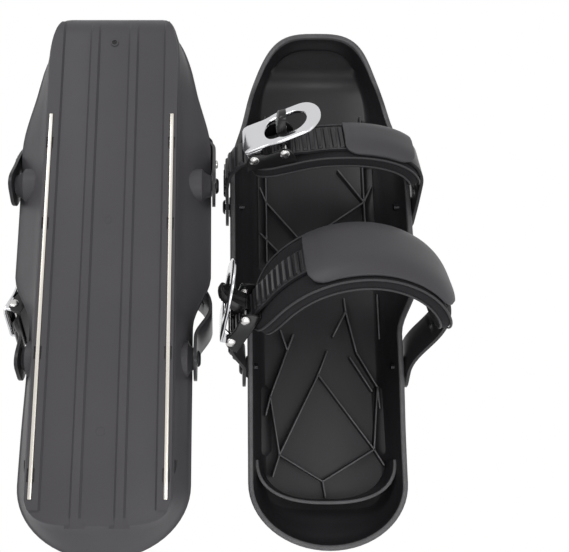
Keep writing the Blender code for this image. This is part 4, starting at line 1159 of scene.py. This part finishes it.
@dataclass
class Buckle:
    """The ratchet buckle: frame, two pins, lever, release tab and spring.

    Its own frame has x along the strap, y across it and z outward.
    """

    half_length: float = 19.5 * MM
    half_width: float = 19.8 * MM
    cheek: float = 2.5 * MM
    cheek_height: float = 13.3 * MM
    floor: float = 1.3 * MM
    pin_x: float = 12.0 * MM
    pin_z: float = 9.5 * MM
    pin_radius: float = 1.8 * MM
    head_radius: float = 3.9 * MM
    lever_lift: float = 5.0 * MM
    lever_thick: float = 3.0 * MM
    lever_length: float = 58.0 * MM
    lever_heel: float = 6.5 * MM
    lever_root: float = 16.8 * MM
    lever_end: float = 19.5 * MM
    loop_start: float = 12.0 * MM
    loop_end: float = 47.0 * MM
    loop_half: float = 11.8 * MM
    tab_half: float = 9.0 * MM
    tab_height: float = 24.0 * MM
    tab_thick: float = 8.0 * MM
    barrel_bore: float = 2.2 * MM
    barrel_radius: float = 3.3 * MM
    ear_radius: float = 4.0 * MM
    coil_turns: int = 3
    coil_steps: int = 24
    coil_radius: float = 2.9 * MM
    coil_pitch: float = 1.4 * MM
    wire: float = 0.45 * MM

    def frame_mesh(self) -> bmesh.types.BMesh:
        """The channel and its cheeks.

        Returns:
            The mesh.
        """
        low, wide = 0.15 * MM, self.half_width
        plate = ((-wide, low), (wide, low), (wide, self.floor), (-wide, self.floor))
        mesh = sweep([[Vector((x, y, z)) for y, z in plate] for x in (-self.half_length, self.half_length)])
        low = 0.4 * MM
        long = self.half_length - 0.2 * MM
        top = self.cheek_height
        outline = [(-long, low), (long, low), (long, 4.5 * MM), (long - 1.2 * MM, 8.5 * MM),
                   (long - 4.2 * MM, top - 1.2 * MM), (long - 7.0 * MM, top), (0.0, top - 1.6 * MM),
                   (-long + 7.5 * MM, top), (-long + 3.6 * MM, top - 1.4 * MM), (-long + 1.0 * MM, 8.5 * MM),
                   (-long, 4.5 * MM)]
        for side in (-1, 1):
            sweep([[Vector((x, side * (self.half_width - inset), z)) for x, z in outline]
                   for inset in (0.0, self.cheek)], mesh=mesh)
        return mesh

    def rivet_mesh(self) -> bmesh.types.BMesh:
        """A pin with a domed head outside each cheek.

        Returns:
            The mesh.
        """
        reach = self.half_width + 0.3 * MM
        head = 1.3 * MM
        dome = [(reach + head * math.sin(angle), self.head_radius * math.cos(angle) ** 0.8)
                for angle in spread(0.15, math.pi / 2, 7)]
        profile = [(reach, self.pin_radius), (reach, self.head_radius)] + dome[:-1] + [(reach + head, 0.0)]
        full = [(-z, r) for z, r in reversed(profile)] + profile
        return turned(full, 28, place=along("y"))

    def bow(self, x: float) -> float:
        """The lever's gentle rise along its length."""
        return 3.5 * MM * (eased(x, 0, self.lever_length) - (x / self.lever_length) ** 2 * 0.6)

    def lever_mesh(self) -> bmesh.types.BMesh:
        """The loop with its legs, and the two ears that hang from it.

        Returns:
            The mesh.
        """
        mesh = bmesh.new()
        outer = [(-self.lever_heel, 0.0), (-self.lever_heel, self.lever_root - 4 * MM),
                 (-self.lever_heel + 1.2 * MM, self.lever_root - 1.2 * MM),
                 (-self.lever_heel + 4 * MM, self.lever_root), (self.loop_start - 2 * MM, self.lever_root)]
        outer += [(x, self.lever_root + (self.lever_end - self.lever_root) * eased(x, self.loop_start, 26 * MM))
                  for x in spread(self.loop_start, 34 * MM, 5)]
        straight = self.lever_length - self.lever_end * 0.85
        outer += [(straight + self.lever_end * 0.85 * math.cos(angle), self.lever_end * math.sin(angle))
                  for angle in reversed(spread(0, math.radians(84), 9))]
        count = len(outer)
        inner = []
        radius = self.loop_half
        near = self.loop_start + radius * 0.75
        far = self.loop_end - radius
        for angle in spread(math.pi, math.pi / 2, 8):
            inner.append((near + 0.75 * radius * math.cos(angle), radius * math.sin(angle)))
        inner += [(x, radius) for x in spread(near, far, count - 18)[1:-1]]
        for angle in spread(math.pi / 2, 0, count - len(inner) - 1):
            inner.append((far + radius * math.cos(angle), radius * math.sin(angle)))
        inner = inner[:count]
        sections = []
        for (xo, yo), (xi, yi) in zip(outer, inner):
            low, high = self.lever_lift, self.lever_lift + self.lever_thick
            sections.append([Vector((xo, yo, low + self.bow(xo) + 0.5 * MM)),
                             Vector((xo, yo, high + self.bow(xo) - 0.6 * MM)),
                             Vector((xo * 0.8 + xi * 0.2, yo * 0.8 + yi * 0.2, high + self.bow(xo))),
                             Vector((xo * 0.2 + xi * 0.8, yo * 0.2 + yi * 0.8, high + self.bow(xi))),
                             Vector((xi, yi, high + self.bow(xi) - 0.6 * MM)),
                             Vector((xi, yi, low + self.bow(xi)))])
        mirrored = [[Vector((p.x, -p.y, p.z)) for p in section] for section in reversed(sections[1:-1])]
        sweep(sections + mirrored, closed=True, mesh=mesh)
        top = self.lever_lift + 1.2 * MM
        ear = [(self.ear_radius * math.cos(angle), self.ear_radius * math.sin(angle))
               for angle in spread(math.pi, 2 * math.pi, 12)]
        ear += [(9.5 * MM, top), (-4.5 * MM, top)]
        for side in (-1, 1):
            sweep([[Vector((x, side * y, z)) for x, z in ear]
                   for y in (self.lever_root, self.lever_root - 2.3 * MM)], mesh=mesh)
        return mesh

    def tab_mesh(self) -> bmesh.types.BMesh:
        """The barrel on its pin and the ribbed tongue that stands up from it.

        Returns:
            The mesh.
        """
        mesh = turned([(-self.tab_half, self.barrel_bore), (-self.tab_half, self.barrel_radius),
                       (self.tab_half, self.barrel_radius), (self.tab_half, self.barrel_bore),
                       (-self.tab_half, self.barrel_bore)], 24, place=along("y"))
        sections = []
        for share in spread(0.0, 1.0, 22):
            z = 1.0 * MM + (self.tab_height - 1.0 * MM) * share
            x = -0.5 * MM + 5 * MM * share ** 2
            end = math.sqrt(max(1 - max(share - 0.86, 0.0) ** 2 / 0.0196, 0.02))
            half = (self.tab_half - 0.4 * MM) * (1 - 0.35 * share ** 3) * (0.55 + 0.45 * end)
            thick = self.tab_thick * (1.0 - 0.25 * share) * (0.7 + 0.3 * end)
            grip = 0.35 * MM * math.sin(share * 60) if 0.45 < share < 0.95 else 0.0
            back, front = x - thick / 2 + grip, x + thick / 2
            sections.append([Vector((back, -half, z)), Vector((front, -half, z)),
                             Vector((front + 0.4 * MM, 0, z)), Vector((front, half, z)),
                             Vector((back, half, z)), Vector((x - thick / 2 - 0.4 * MM + grip, 0, z))])
        return sweep(sections, mesh=mesh)

    def spring_mesh(self) -> bmesh.types.BMesh:
        """A coil of wire round the tab's pin.

        Returns:
            The mesh.
        """
        sections = []
        for step in range(self.coil_turns * self.coil_steps + 1):
            angle = 2 * math.pi * step / self.coil_steps
            spoke = Vector((math.cos(angle), 0, math.sin(angle)))
            centre = spoke * self.coil_radius + Vector((0, self.coil_pitch * step / self.coil_steps, 0))
            sections.append([centre + (spoke * math.cos(turn) + Vector((0, 1, 0)) * math.sin(turn)) * self.wire
                             for turn in spread(0, 2 * math.pi, 8)[:-1]])
        return sweep(sections)


@dataclass
class Strap:
    """One strap with its pad, cover, buckle and screws."""

    name: str
    y: float
    lean: float
    arch: Arch
    pad_half: float
    pad_span: tuple[float, float]
    cover_span: tuple[float, float]
    lever_angle: float
    tab_angle: float = 0.0
    pivot_z: float = 28.0 * MM
    gap: float = 0.3 * MM
    ladder_half: float = 14.0 * MM
    ladder_thick: float = 2.6 * MM
    ladder_lift: float = 1.8 * MM
    tooth: float = 1.3 * MM
    pitch: float = 5.6 * MM
    adjuster_half: float = 15.0 * MM
    adjuster_thick: float = 2.5 * MM
    pad_thick: float = 12.0 * MM
    pad_edge: float = 9.0 * MM
    cover_centre: float = 6.4 * MM
    cover_edge: float = 0.4 * MM
    cover_thick: float = 1.8 * MM
    overlap: float = 16.0 * MM
    tongue: float = 14.0 * MM
    plain: float = 20.0 * MM
    end_round: float = 11.0 * MM
    screw_inset: float = 7.0 * MM
    hole_pitch: float = 8.5 * MM
    hole_radius: float = 1.9 * MM
    piping_radius: float = 0.9 * MM
    teeth: tuple[tuple[float, float], ...] = (
        (0.02, -0.25), (0.34, -0.25), (0.44, 0.85), (0.50, 1.0), (0.88, 1.2), (0.94, 1.05))

    def place(self) -> Matrix:
        """From the strap's frame to the board's."""
        return Matrix.Translation((0, self.y, self.pivot_z)) @ Matrix.Rotation(-self.lean, 4, "X")

    def spans(self) -> tuple[float, float, float, float]:
        """Where pad and cover begin and end along the arch.

        Returns:
            The pad's start and end, then the cover's.
        """
        buckle, _, apex, far = self.arch.knots[2:6]
        return (buckle + self.pad_span[0], far + self.pad_span[1], apex + self.cover_span[0],
                far + self.cover_span[1])

    def ladder(self) -> bmesh.types.BMesh:
        """The toothed strap.

        Returns:
            The strap with its teeth.
        """
        arch = self.arch
        end = self.spans()[2] + self.overlap
        start, leave = arch.knots[2], arch.knots[3]

        def lift(length: float) -> float:
            """How high the strap's lower face is; it rises through the buckle.

            Args:
                length: the place along the arch.

            Returns:
                The strap's height over the line.
            """
            up = eased(length, start - 9 * MM, start - 1 * MM)
            down = eased(length, leave, leave + 9 * MM)
            return self.gap + (self.ladder_lift - self.gap) * (up - down)

        def section(length: float, tooth: float) -> Section:
            """A section of the strap, with or without a tooth.

            Args:
                length: the place along the arch.
                tooth: how far the middle stands up.

            Returns:
                The section there.
            """
            half = self.ladder_half * (0.45 + 0.55 * rounded_end(length, 0, 10, self.end_round))
            low = lift(length)
            top = low + self.ladder_thick
            rim = half - 1.6 * MM
            return [arch.at(length, x, z) for x, z in (
                (-half, low), (half, low), (half, top - 0.5 * MM), (half - 0.5 * MM, top),
                (rim, top + tooth * 0.1), (rim - 0.7 * MM, top + tooth), (-rim + 0.7 * MM, top + tooth),
                (-rim, top + tooth * 0.1), (-half + 0.5 * MM, top), (-half, top - 0.5 * MM))]

        sections = [section(length, 0.0) for length in spread(0.0, self.tongue, 14)]
        length = self.tongue + self.plain
        sections += [section(place, 0.0) for place in spread(self.tongue, length, 8)[1:]]
        while length < end - self.pitch:
            for share, height in self.teeth:
                sections.append(section(length + self.pitch * share, self.tooth * height))
            length += self.pitch
        sections.append(section(end, 0.0))
        return sweep(sections)

    def adjuster(self) -> bmesh.types.BMesh:
        """The perforated strap on the inner side.

        Returns:
            The strap with its holes.
        """
        arch = self.arch
        start = self.spans()[3] - self.overlap
        low, top = self.gap, self.gap + self.adjuster_thick
        sections = []
        for length in spread(start, arch.total, 60):
            half = self.adjuster_half * (0.45 + 0.55 * rounded_end(length, start, arch.total, self.end_round))
            corners = ((-half, low), (half, low), (half, top), (-half, top))
            sections.append([arch.at(length, x, z) for x, z in corners])
        holes = bmesh.new()
        for step in range(2):
            spot = arch.frame_at(self.spans()[1] + self.screw_inset + self.hole_pitch * step)
            turned([(-4 * MM, 0.0), (-4 * MM, self.hole_radius), (8 * MM, self.hole_radius), (8 * MM, 0.0)],
                   20, holes, spot)
        return pierced(sweep(sections), holes)

    def pad_at(self, share: float) -> tuple[float, float]:
        """The pad's round ends, with sections closer together there.

        Args:
            share: 0 at the pad's start, 1 at its end.

        Returns:
            The length along the arch and half the pad's width there.
        """
        start, end = self.spans()[:2]
        length = start + (end - start) * (0.5 - 0.5 * math.cos(math.pi * share))
        return length, self.pad_half * (0.35 + 0.65 * rounded_end(length, start, end, self.pad_half * 0.95))

    def pad(self) -> bmesh.types.BMesh:
        """The foam pad, crowned towards the boot, drawn in at its sides, with two sewn channels.

        Returns:
            The pad.
        """
        start, end = self.spans()[:2]
        sections = []
        for share in spread(0.0, 1.0, 56):
            length, width = self.pad_at(share)
            depth = 0.5 + 0.5 * rounded_end(length, start, end, 8 * MM)
            ring = []
            for column in spread(-1.0, 1.0, 18):
                channel = math.exp(-((abs(column) - 0.55) / 0.05) ** 2) * 0.9 * MM
                crown = (self.pad_thick - self.pad_edge) * column ** 2 + channel
                ring.append(self.arch.at(length, column * width, -self.gap - (self.pad_thick - crown) * depth))
            middle = -self.gap - self.pad_edge * depth * 0.5
            ring.append(self.arch.at(length, width * 0.985, middle))
            ring += [self.arch.at(length, column * width * 0.99, -self.gap) for column in spread(1.0, -1.0, 6)]
            ring.append(self.arch.at(length, -width * 0.985, middle))
            sections.append(ring)
        return sweep(sections)

    def piping(self) -> bmesh.types.BMesh:
        """A thin cord sewn round both long edges of the pad.

        Returns:
            The four runs of cord.
        """
        mesh = bmesh.new()
        turns = spread(0, 2 * math.pi, 8)[:-1]
        for side in (-1, 1):
            for depth in (-1.0 * MM, -self.pad_edge + 0.4 * MM):
                sections = []
                for share in spread(0.02, 0.98, 70):
                    length, width = self.pad_at(share)
                    middle = side * (width - 0.2 * MM)
                    sections.append([self.arch.at(length, middle + self.piping_radius * math.cos(turn),
                                                  depth + self.piping_radius * math.sin(turn))
                                     for turn in turns])
                sweep(sections, mesh=mesh)
        return mesh

    def cover(self) -> bmesh.types.BMesh:
        """The smooth coated cover, rolled down at its edges.

        Returns:
            The cover.
        """
        start, end = self.spans()[2:]
        half_width = self.pad_half * 0.92
        sections = []
        for share in spread(0.0, 1.0, 40):
            length = start + (end - start) * share
            width = half_width * (0.72 + 0.28 * rounded_end(length, start, end, 12 * MM))
            drop = (self.cover_centre - self.cover_edge) * (width / half_width) ** 4
            crease = 0.35 * MM * math.exp(-((share - 0.07) / 0.02) ** 2)
            swell = 0.5 * MM * math.sin(math.pi * share)
            ring = [self.arch.at(length, column * width, self.cover_centre - drop * abs(column) ** 4)
                    for column in spread(-1.0, 1.0, 16)]
            ring += [self.arch.at(length, column * width,
                                  self.cover_centre + self.cover_thick - crease + swell * (1 - column ** 2)
                                  - drop * abs(column) ** 4) for column in spread(1.0, -1.0, 16)]
            sections.append(ring)
        return sweep(sections)

    def pad_screw(self) -> bmesh.types.BMesh:
        """The round-headed screw that holds the pad to the strap.

        Returns:
            The screw.
        """
        top = 2 * self.gap + self.adjuster_thick
        seat = self.arch.frame_at(self.spans()[1] + self.screw_inset)
        return turned([(0.0, 0.0), (0.0, 1.6 * MM), (top, 1.6 * MM), (top, 3.6 * MM),
                       (top + 0.8 * MM, 3.55 * MM), (top + 1.3 * MM, 2.7 * MM), (top + 1.5 * MM, 1.5 * MM),
                       (top + 0.7 * MM, 1.3 * MM), (top + 0.7 * MM, 0.0)], 28, place=seat)


class Way(Enum):
    """How a board lies: its height's sign against the model's."""

    STANDING = 1
    UPSIDE_DOWN = -1


@dataclass
class Board:
    """One board with everything on it."""

    side: str
    way: Way
    straps: list[Strap]
    tray: Tray = field(default_factory=Tray)
    boss_radius: float = 8.5 * MM
    boss_flare: float = 5.0 * MM
    hole_radius: float = 1.75 * MM
    screw_shank: float = 2.6 * MM
    screw_head: float = 6.2 * MM
    screw_dome: float = 2.4 * MM
    ring_marks: tuple[tuple[float, float, float, float], ...] = (
        (177.0, 3.3, 1.8, 0.8), (31.0, 2.9, 2.3, 0.14), (-123.0, 3.4, 2.8, 0.14))

    def place(self) -> Matrix:
        """From the board's own frame to the model's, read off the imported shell.

        Returns:
            The placement; it mirrors the board's height when it lies upside down.
        """
        low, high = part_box(self.side + "_board_shell")
        x = (low.x + high.x) / 2
        y = (low.y + high.y) / 2 - (self.tray.tip_y + self.tray.tail_y) / 2
        if self.way is Way.STANDING:
            return Matrix.Translation((x, y, low.z - self.tray.keel_lift))
        return Matrix.Translation((x, y, high.z + self.tray.keel_lift)) @ Matrix.Scale(-1, 4, (0, 0, 1))

    def build(self) -> None:
        """Make and dress every piece of the board."""
        self.build_shell()
        self.build_ribbing()
        self.build_bosses()
        self.build_marks()
        for sign, label in ((-1, "outer"), (1, "inner")):
            self.dress(Underside(self.tray).strip(sign), label + "_strip", STRIP, Edging(0.2 * MM, 2),
                       (self.side + "_" + label + "_runner",))
        for strap in self.straps:
            self.build_strap(strap)

    def dress(self, mesh: bmesh.types.BMesh, label: str, finish: Finish, edging: Edging,
              nodes: tuple[str, ...] = ()) -> bpy.types.Object:
        """Publish a piece that is fixed to the board, in the board's own frame."""
        return publish(mesh, self.side + "_" + label, self.side + "_board", finish, self.place(), nodes, edging)

    def pivot(self, strap: Strap, sign: int) -> Matrix:
        """A frame on a strap's pivot, with z outward to the side of the sign."""
        return Matrix.Translation((0, strap.y, strap.pivot_z)) @ Matrix.Rotation(sign * math.pi / 2, 4, "Y")

    def build_shell(self) -> None:
        """The shell in painted shade from the lip inward, with a painted highlight on the rim's top, and the
        keels under it.
        """
        shell = self.dress(self.tray.shell(), "shell", SHELL, Edging(crease_angle=50),
                           (self.side + "_board_shell",))
        # The lip and everything inside it take painted shade, with a painted highlight above this line near the
        # rim's top.
        line = tuple((y, z - 1.6 * MM) for y, z in self.tray.heights)
        shell.data.materials.append(self.shaded_tray_with_highlight("rim", line).material())
        under = Underside(self.tray)
        keels = bmesh.new()
        under.ridges(keels)
        under.rails(keels)
        self.dress(keels, "keels", SHELL, Edging(crease_angle=20))

    def build_ribbing(self) -> None:
        """Ribs, heel wall and side channels inside the tray in painted shade, with painted highlights on the
        tops of the ribs and the heel wall.
        """
        ribbing = Ribbing(self.tray)
        top = self.tray.panel_lift + self.tray.floor + ribbing.height - 0.9 * MM
        # Painted highlight on the rib tops and on the heel wall's top, over painted shade.
        shaded_tray_with_highlight = self.shaded_tray_with_highlight("rib", ((-0.2, top), (0.2, top)))
        self.dress(ribbing.ribs(), "ribs", shaded_tray_with_highlight, Edging(0.35 * MM, 2))
        top = ribbing.heel_top - 0.8 * MM
        shaded_tray_with_highlight = self.shaded_tray_with_highlight("heel", ((-0.2, top), (0.2, top)))
        self.dress(ribbing.heel(), "heel_wall", shaded_tray_with_highlight, Edging(0.6 * MM, 2))
        self.dress(ribbing.channels(), "side_channels", SHADED_TRAY, Edging(0.3 * MM, 2))

    def build_bosses(self) -> None:
        """Round bosses that flare into the wall behind each strap's pivot."""
        bosses = bmesh.new()
        for strap in self.straps:
            wall = self.wall_at(strap)
            lean = (self.tray.rim_half(strap.y) - self.tray.base_half_width) / self.tray.rim_height(strap.y)
            reach = strap.arch.half - wall
            root = self.boss_radius + self.boss_flare
            flare = [(wall + reach * share, self.boss_radius + self.boss_flare * (1 - share) ** 2)
                     for share in spread(0, 0.9, 7)]
            face = [(strap.arch.half, self.boss_radius - 0.4 * MM), (strap.arch.half, 0.0)]
            for sign in (-1, 1):
                boss = turned([(wall - 12 * MM, 0.0), (wall - 12 * MM, root)] + flare + face, 40,
                              place=self.pivot(strap, sign))
                bmesh.ops.bisect_plane(boss, geom=boss.verts[:] + boss.edges[:] + boss.faces[:],
                                       plane_co=(sign * (wall - 1.5 * MM), strap.y, strap.pivot_z),
                                       plane_no=(sign, 0, -lean), clear_inner=True)
                bmesh.ops.holes_fill(boss, edges=boss.edges)
                part = bpy.data.meshes.new("boss")
                boss.to_mesh(part)
                boss.free()
                bosses.from_mesh(part)
        self.dress(bosses, "strap_bosses", SHELL, Edging(crease_angle=30))

    def build_marks(self) -> None:
        """Moulded rings on the base, and a black plug in the hole through the nose: painted shade."""
        base = self.tray.panel_lift
        marks = bmesh.new()
        for y, outer, inner, lift in self.ring_marks:
            turned([(base + 0.5 * MM, outer * MM), (base - lift * MM, (outer - 0.2) * MM),
                    (base - lift * MM, (inner + 0.2) * MM), (base + 0.5 * MM, inner * MM),
                    (base + 0.5 * MM, outer * MM)], 40, marks, Matrix.Translation((0, y * MM, 0)))
        self.dress(marks, "moulded_rings", SHELL, Edging(crease_angle=30))
        # A black plug fills the hole: painted shade for its dark inside.
        low, high = base - 0.06 * MM, base + self.tray.floor + 0.06 * MM
        hole = turned([(low, 0.0), (low, self.hole_radius), (high, self.hole_radius), (high, 0.0)], 28,
                      place=Matrix.Translation((0, self.ring_marks[0][0] * MM, 0)))
        self.dress(hole, "nose_hole", FRAME_BLACK, Edging(crease_angle=30))

    def shaded_tray_with_highlight(self, part: str, crests: tuple[tuple[float, float], ...]) -> CrestHighlight:
        """The tray's plastic in painted shade, with a painted highlight above a line of places and heights of
        this board.

        Args:
            part: what the crests belong to.
            crests: pairs of y and height, in order of y.

        Returns:
            The finish.
        """
        placed = [self.place() @ Vector((0, y, z)) for y, z in crests]
        return CrestHighlight(f"{self.side}_{part}_plastic_rubbed", "shell_plastic", SHADED_TRAY.colour, 0.38,
                      crests=tuple((point.y, point.z) for point in placed), upward=self.way.value)

    def wall_at(self, strap: Strap) -> float:
        """The wall's outer face at a strap's pivots.

        Args:
            strap: the strap.

        Returns:
            How far out the face is.
        """
        rim = self.tray.rim_half(strap.y)
        base = self.tray.base_half_width
        return base + (rim - base) * strap.pivot_z / self.tray.rim_height(strap.y)

    def build_strap(self, strap: Strap) -> None:
        """A strap with its pad, cover, buckle and screws.

        Args:
            strap: the strap.
        """
        name = self.side + "_" + strap.name
        body = name + "_strap"
        place = self.place() @ strap.place()
        publish(strap.ladder(), name + "_ladder", body, STRAP, place, (name + "_ladder_strap",),
                Edging(crease_angle=25))
        publish(strap.adjuster(), name + "_adjuster", body, STRAP, place, (name + "_adjuster_strap",),
                Edging(0.3 * MM, 2))
        pad = publish(strap.pad(), name + "_foam_pad", body, FOAM, place, (name + "_pad",), Edging(subdivide=1))
        publish(strap.piping(), name + "_pad_piping", body, PIPING, place, (), Edging(crease_angle=60))
        publish(strap.cover(), name + "_top_cover", body, COVER, place, (name + "_cover",), Edging(0.5 * MM, 3))
        publish(strap.pad_screw(), name + "_pad_bolt", body, RIVET, place, (name + "_pad_screw",), Edging())
        self.build_screws(strap)
        self.build_buckle(strap)

    def build_buckle(self, strap: Strap) -> None:
        """A strap's buckle: channel, two pins, lever, release tab and spring.

        Args:
            strap: the strap.
        """
        name = self.side + "_" + strap.name
        body = name + "_strap"
        buckle = Buckle()
        middle = (strap.arch.knots[2] + strap.arch.knots[3]) / 2
        seat = self.place() @ strap.place() @ strap.arch.frame_at(middle)
        lever, tab = (seat @ Matrix.Translation((x, 0, buckle.pin_z)) for x in (-buckle.pin_x, buckle.pin_x))
        publish(buckle.frame_mesh(), name + "_buckle_channel", body, FRAME_BLACK, seat,
                (name + "_buckle_frame",), Edging(0.45 * MM, 3, crease_angle=28))
        for label, spot in (("lever", lever), ("tab", tab)):
            publish(buckle.rivet_mesh(), name + "_" + label + "_pin", body, RIVET, spot,
                    (name + "_" + label + "_rivet",), Edging())
        publish(buckle.lever_mesh(), name + "_chrome_lever", name + "_lever", CHROME,
                lever @ Matrix.Rotation(-strap.lever_angle, 4, "Y"), (name + "_lever",),
                Edging(0.7 * MM, 4, crease_angle=32))
        turn = tab @ Matrix.Rotation(strap.tab_angle, 4, "Y")
        publish(buckle.tab_mesh(), name + "_finger_tab", name + "_release", FRAME_BLACK, turn,
                (name + "_release_tab",), Edging(0.35 * MM, 2, crease_angle=30))
        publish(buckle.spring_mesh(), name + "_coil", body, RIVET,
                turn @ Matrix.Translation((0, buckle.tab_half + 1 * MM, 0)), (name + "_pawl_spring",),
                Edging(crease_angle=60))

    def build_screws(self, strap: Strap) -> None:
        """The two pan-head screws on which the strap swings.

        Args:
            strap: the strap.
        """
        name = self.side + "_" + strap.name
        inside = self.wall_at(strap) - self.tray.wall - 2.4 * MM
        shank, rim, dome = self.screw_shank, self.screw_head, self.screw_dome
        for sign, label, thick in ((-1, "ladder", strap.ladder_thick), (1, "adjuster", strap.adjuster_thick)):
            head = strap.arch.half + 2 * strap.gap + thick
            profile = [(inside, 0.0), (inside, shank), (head, shank), (head, rim)]
            profile += [(head + dome * math.sin(a), rim - 3.0 * MM * (1 - math.cos(a)))
                        for a in spread(0.2, math.pi / 2, 5)]
            profile += [(head + dome, 1.9 * MM), (head + 0.9 * MM, 1.7 * MM), (head + 0.9 * MM, 0.0)]
            publish(turned(profile, 36), name + "_" + label + "_pivot", self.side + "_board", SCREW,
                    self.place() @ self.pivot(strap, sign), (name + "_" + label + "_screw",), Edging())


# Floor, lamps and camera


@dataclass(frozen=True)
class Lamp:
    """A square soft lamp that faces the boards."""

    name: str
    at: tuple[float, float, float]
    size: float
    watts: float
    aim: tuple[float, float, float] = (0.0, 0.0, 30.0 * MM)

    def build(self) -> None:
        """Hang the lamp."""
        light = bpy.data.lights.new(self.name, "AREA")
        light.size = self.size
        light.energy = self.watts
        made = bpy.data.objects.new(self.name, light)
        bpy.context.scene.collection.objects.link(made)
        made.location = self.at
        made.rotation_euler = (Vector(self.aim) - Vector(self.at)).to_track_quat("-Z", "Y").to_euler()


@dataclass(frozen=True)
class Studio:
    """A white floor, five lamps and the camera; sizes are in metres, the picture's in pixels."""

    shift: float = 0.9 * MM
    back: float = -144.9 * MM
    height: float = 633.5 * MM
    tilt: float = math.radians(13.51)
    focal_pixels: float = 746.8
    picture_width: float = 569.0
    centre_x: float = 222.0
    sensor: float = 36.0
    surround: float = 0.30
    floor_drop: float = 0.3 * MM
    floor_half: float = 3.0
    lamps: tuple[Lamp, ...] = (
        Lamp("key", (-0.75, 0.75, 1.15), 0.6, 6.0), Lamp("fill", (0.9, -0.5, 1.0), 0.9, 2.0),
        Lamp("low", (0.15, -1.3, 0.5), 0.7, 3.4), Lamp("top", (0.12, 1.0, 1.5), 0.6, 1.0),
        Lamp("back", (0.15, -0.5, 1.4), 0.5, 4.2))

    def floor(self) -> None:
        """A pale floor that is seen as pure white, so that no shadow shows on it."""
        mesh = bmesh.new()
        bmesh.ops.create_grid(mesh, x_segments=1, y_segments=1, size=self.floor_half)
        data = bpy.data.meshes.new("floor")
        mesh.to_mesh(data)
        mesh.free()
        made = bpy.data.objects.new("floor", data)
        bpy.context.scene.collection.objects.link(made)
        made.location.z = -self.floor_drop
        material = bpy.data.materials.new("floor_white")
        graph = Graph(material, "Principled BSDF")
        graph.set(Base_Color=(0.86, 0.86, 0.86, 1), Roughness=0.9)
        graph.backdrop("Material Output", graph.node("ShaderNodeEmission", None,
                                                     {"Color": (1, 1, 1, 1), "Strength": 1.0}))
        data.materials.append(material)

    def world(self) -> None:
        """Soft pale surroundings that are seen as white."""
        world = bpy.data.worlds.new("studio")
        bpy.context.scene.world = world
        graph = Graph(world, "Background")
        graph.set(Color=(1, 1, 1, 1), Strength=self.surround)
        graph.backdrop("World Output", graph.node("ShaderNodeBackground", None,
                                                  {"Color": (1, 1, 1, 1), "Strength": 1.0}))

    def camera(self) -> None:
        """The camera above the tail side, as the boards were seen."""
        data = bpy.data.cameras.new("camera")
        data.sensor_width = self.sensor
        data.lens = self.focal_pixels / self.picture_width * self.sensor
        data.shift_x = 0.5 - self.centre_x / self.picture_width
        made = bpy.data.objects.new("camera", data)
        bpy.context.scene.collection.objects.link(made)
        middles = [sum(corner.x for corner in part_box(side + "_board_shell")) / 2 for side in ("left", "right")]
        made.location = (sum(middles) / 2 + self.shift, self.back, self.height)
        made.rotation_euler = (self.tilt, 0, 0)
        bpy.context.scene.camera = made

    def build(self) -> None:
        """Set everything up."""
        bpy.context.scene.view_settings.view_transform = "Standard"
        self.floor()
        self.world()
        for lamp in self.lamps:
            lamp.build()
        self.camera()


# The straps as they lie, and the scene


ANKLE_Y, ANKLE_HALF = -69.0 * MM, 63.25 * MM
TOE_Y, TOE_HALF = 67.0 * MM, 76.52 * MM


def toe_arch(side_x: float) -> Arch:
    """The toe strap's line; side_x says how far out its inner side stands."""
    return Arch(TOE_HALF, (33.0 * MM - TOE_HALF, 59.9 * MM), math.radians(16.0), (16.0 * MM, 70.5 * MM),
                (side_x, 37.0 * MM))


def standing_straps() -> list[Strap]:
    """The straps of the board that stands on its runners.

    Returns:
        The ankle strap and the toe strap.
    """
    arch = Arch(ANKLE_HALF, (1.0 * MM - ANKLE_HALF, 51.3 * MM), math.radians(63.2), (20.0 * MM, 117.0 * MM),
                (ANKLE_HALF + 21.0 * MM, 64.0 * MM))
    ankle = Strap("ankle", ANKLE_Y, math.radians(39), arch, pad_half=35.0 * MM, pad_span=(27 * MM, 6 * MM),
                  cover_span=(-42 * MM, -22 * MM), lever_angle=math.radians(16))
    toe = Strap("toe", TOE_Y, math.radians(29), toe_arch(TOE_HALF - 0.6 * MM), pad_half=21.0 * MM,
                pad_span=(3 * MM, 2 * MM), cover_span=(-4 * MM, -26 * MM), lever_angle=math.radians(8))
    return [ankle, toe]


def resting_straps() -> list[Strap]:
    """The straps of the board that lies upside down, bent flatter under its weight.

    Returns:
        The ankle strap and the toe strap.
    """
    arch = Arch(ANKLE_HALF, (-1.9 * MM - ANKLE_HALF, 55.8 * MM), math.radians(72.0), (0.0, 85.0 * MM),
                (ANKLE_HALF + 11.0 * MM, 40.0 * MM), sway=-10.0 * MM)
    ankle = Strap("ankle", ANKLE_Y, math.radians(58), arch, pad_half=31.0 * MM, pad_span=(46 * MM, -34 * MM),
                  cover_span=(-42 * MM, -34 * MM), lever_angle=math.radians(3), tab_angle=math.radians(26))
    toe = Strap("toe", TOE_Y, math.radians(48), toe_arch(TOE_HALF), pad_half=21.0 * MM,
                pad_span=(3 * MM, -8 * MM), cover_span=(-4 * MM, -16 * MM), lever_angle=math.radians(3))
    return [ankle, toe]


def main() -> None:
    """Set up the studio, then build the two boards in order; each piece reports itself."""
    logging.basicConfig(level=logging.INFO, format="%(message)s")
    Studio().build()
    Board("left", Way.STANDING, standing_straps()).build()
    Board("right", Way.UPSIDE_DOWN, resting_straps()).build()


if __name__ == "__main__":
    main()
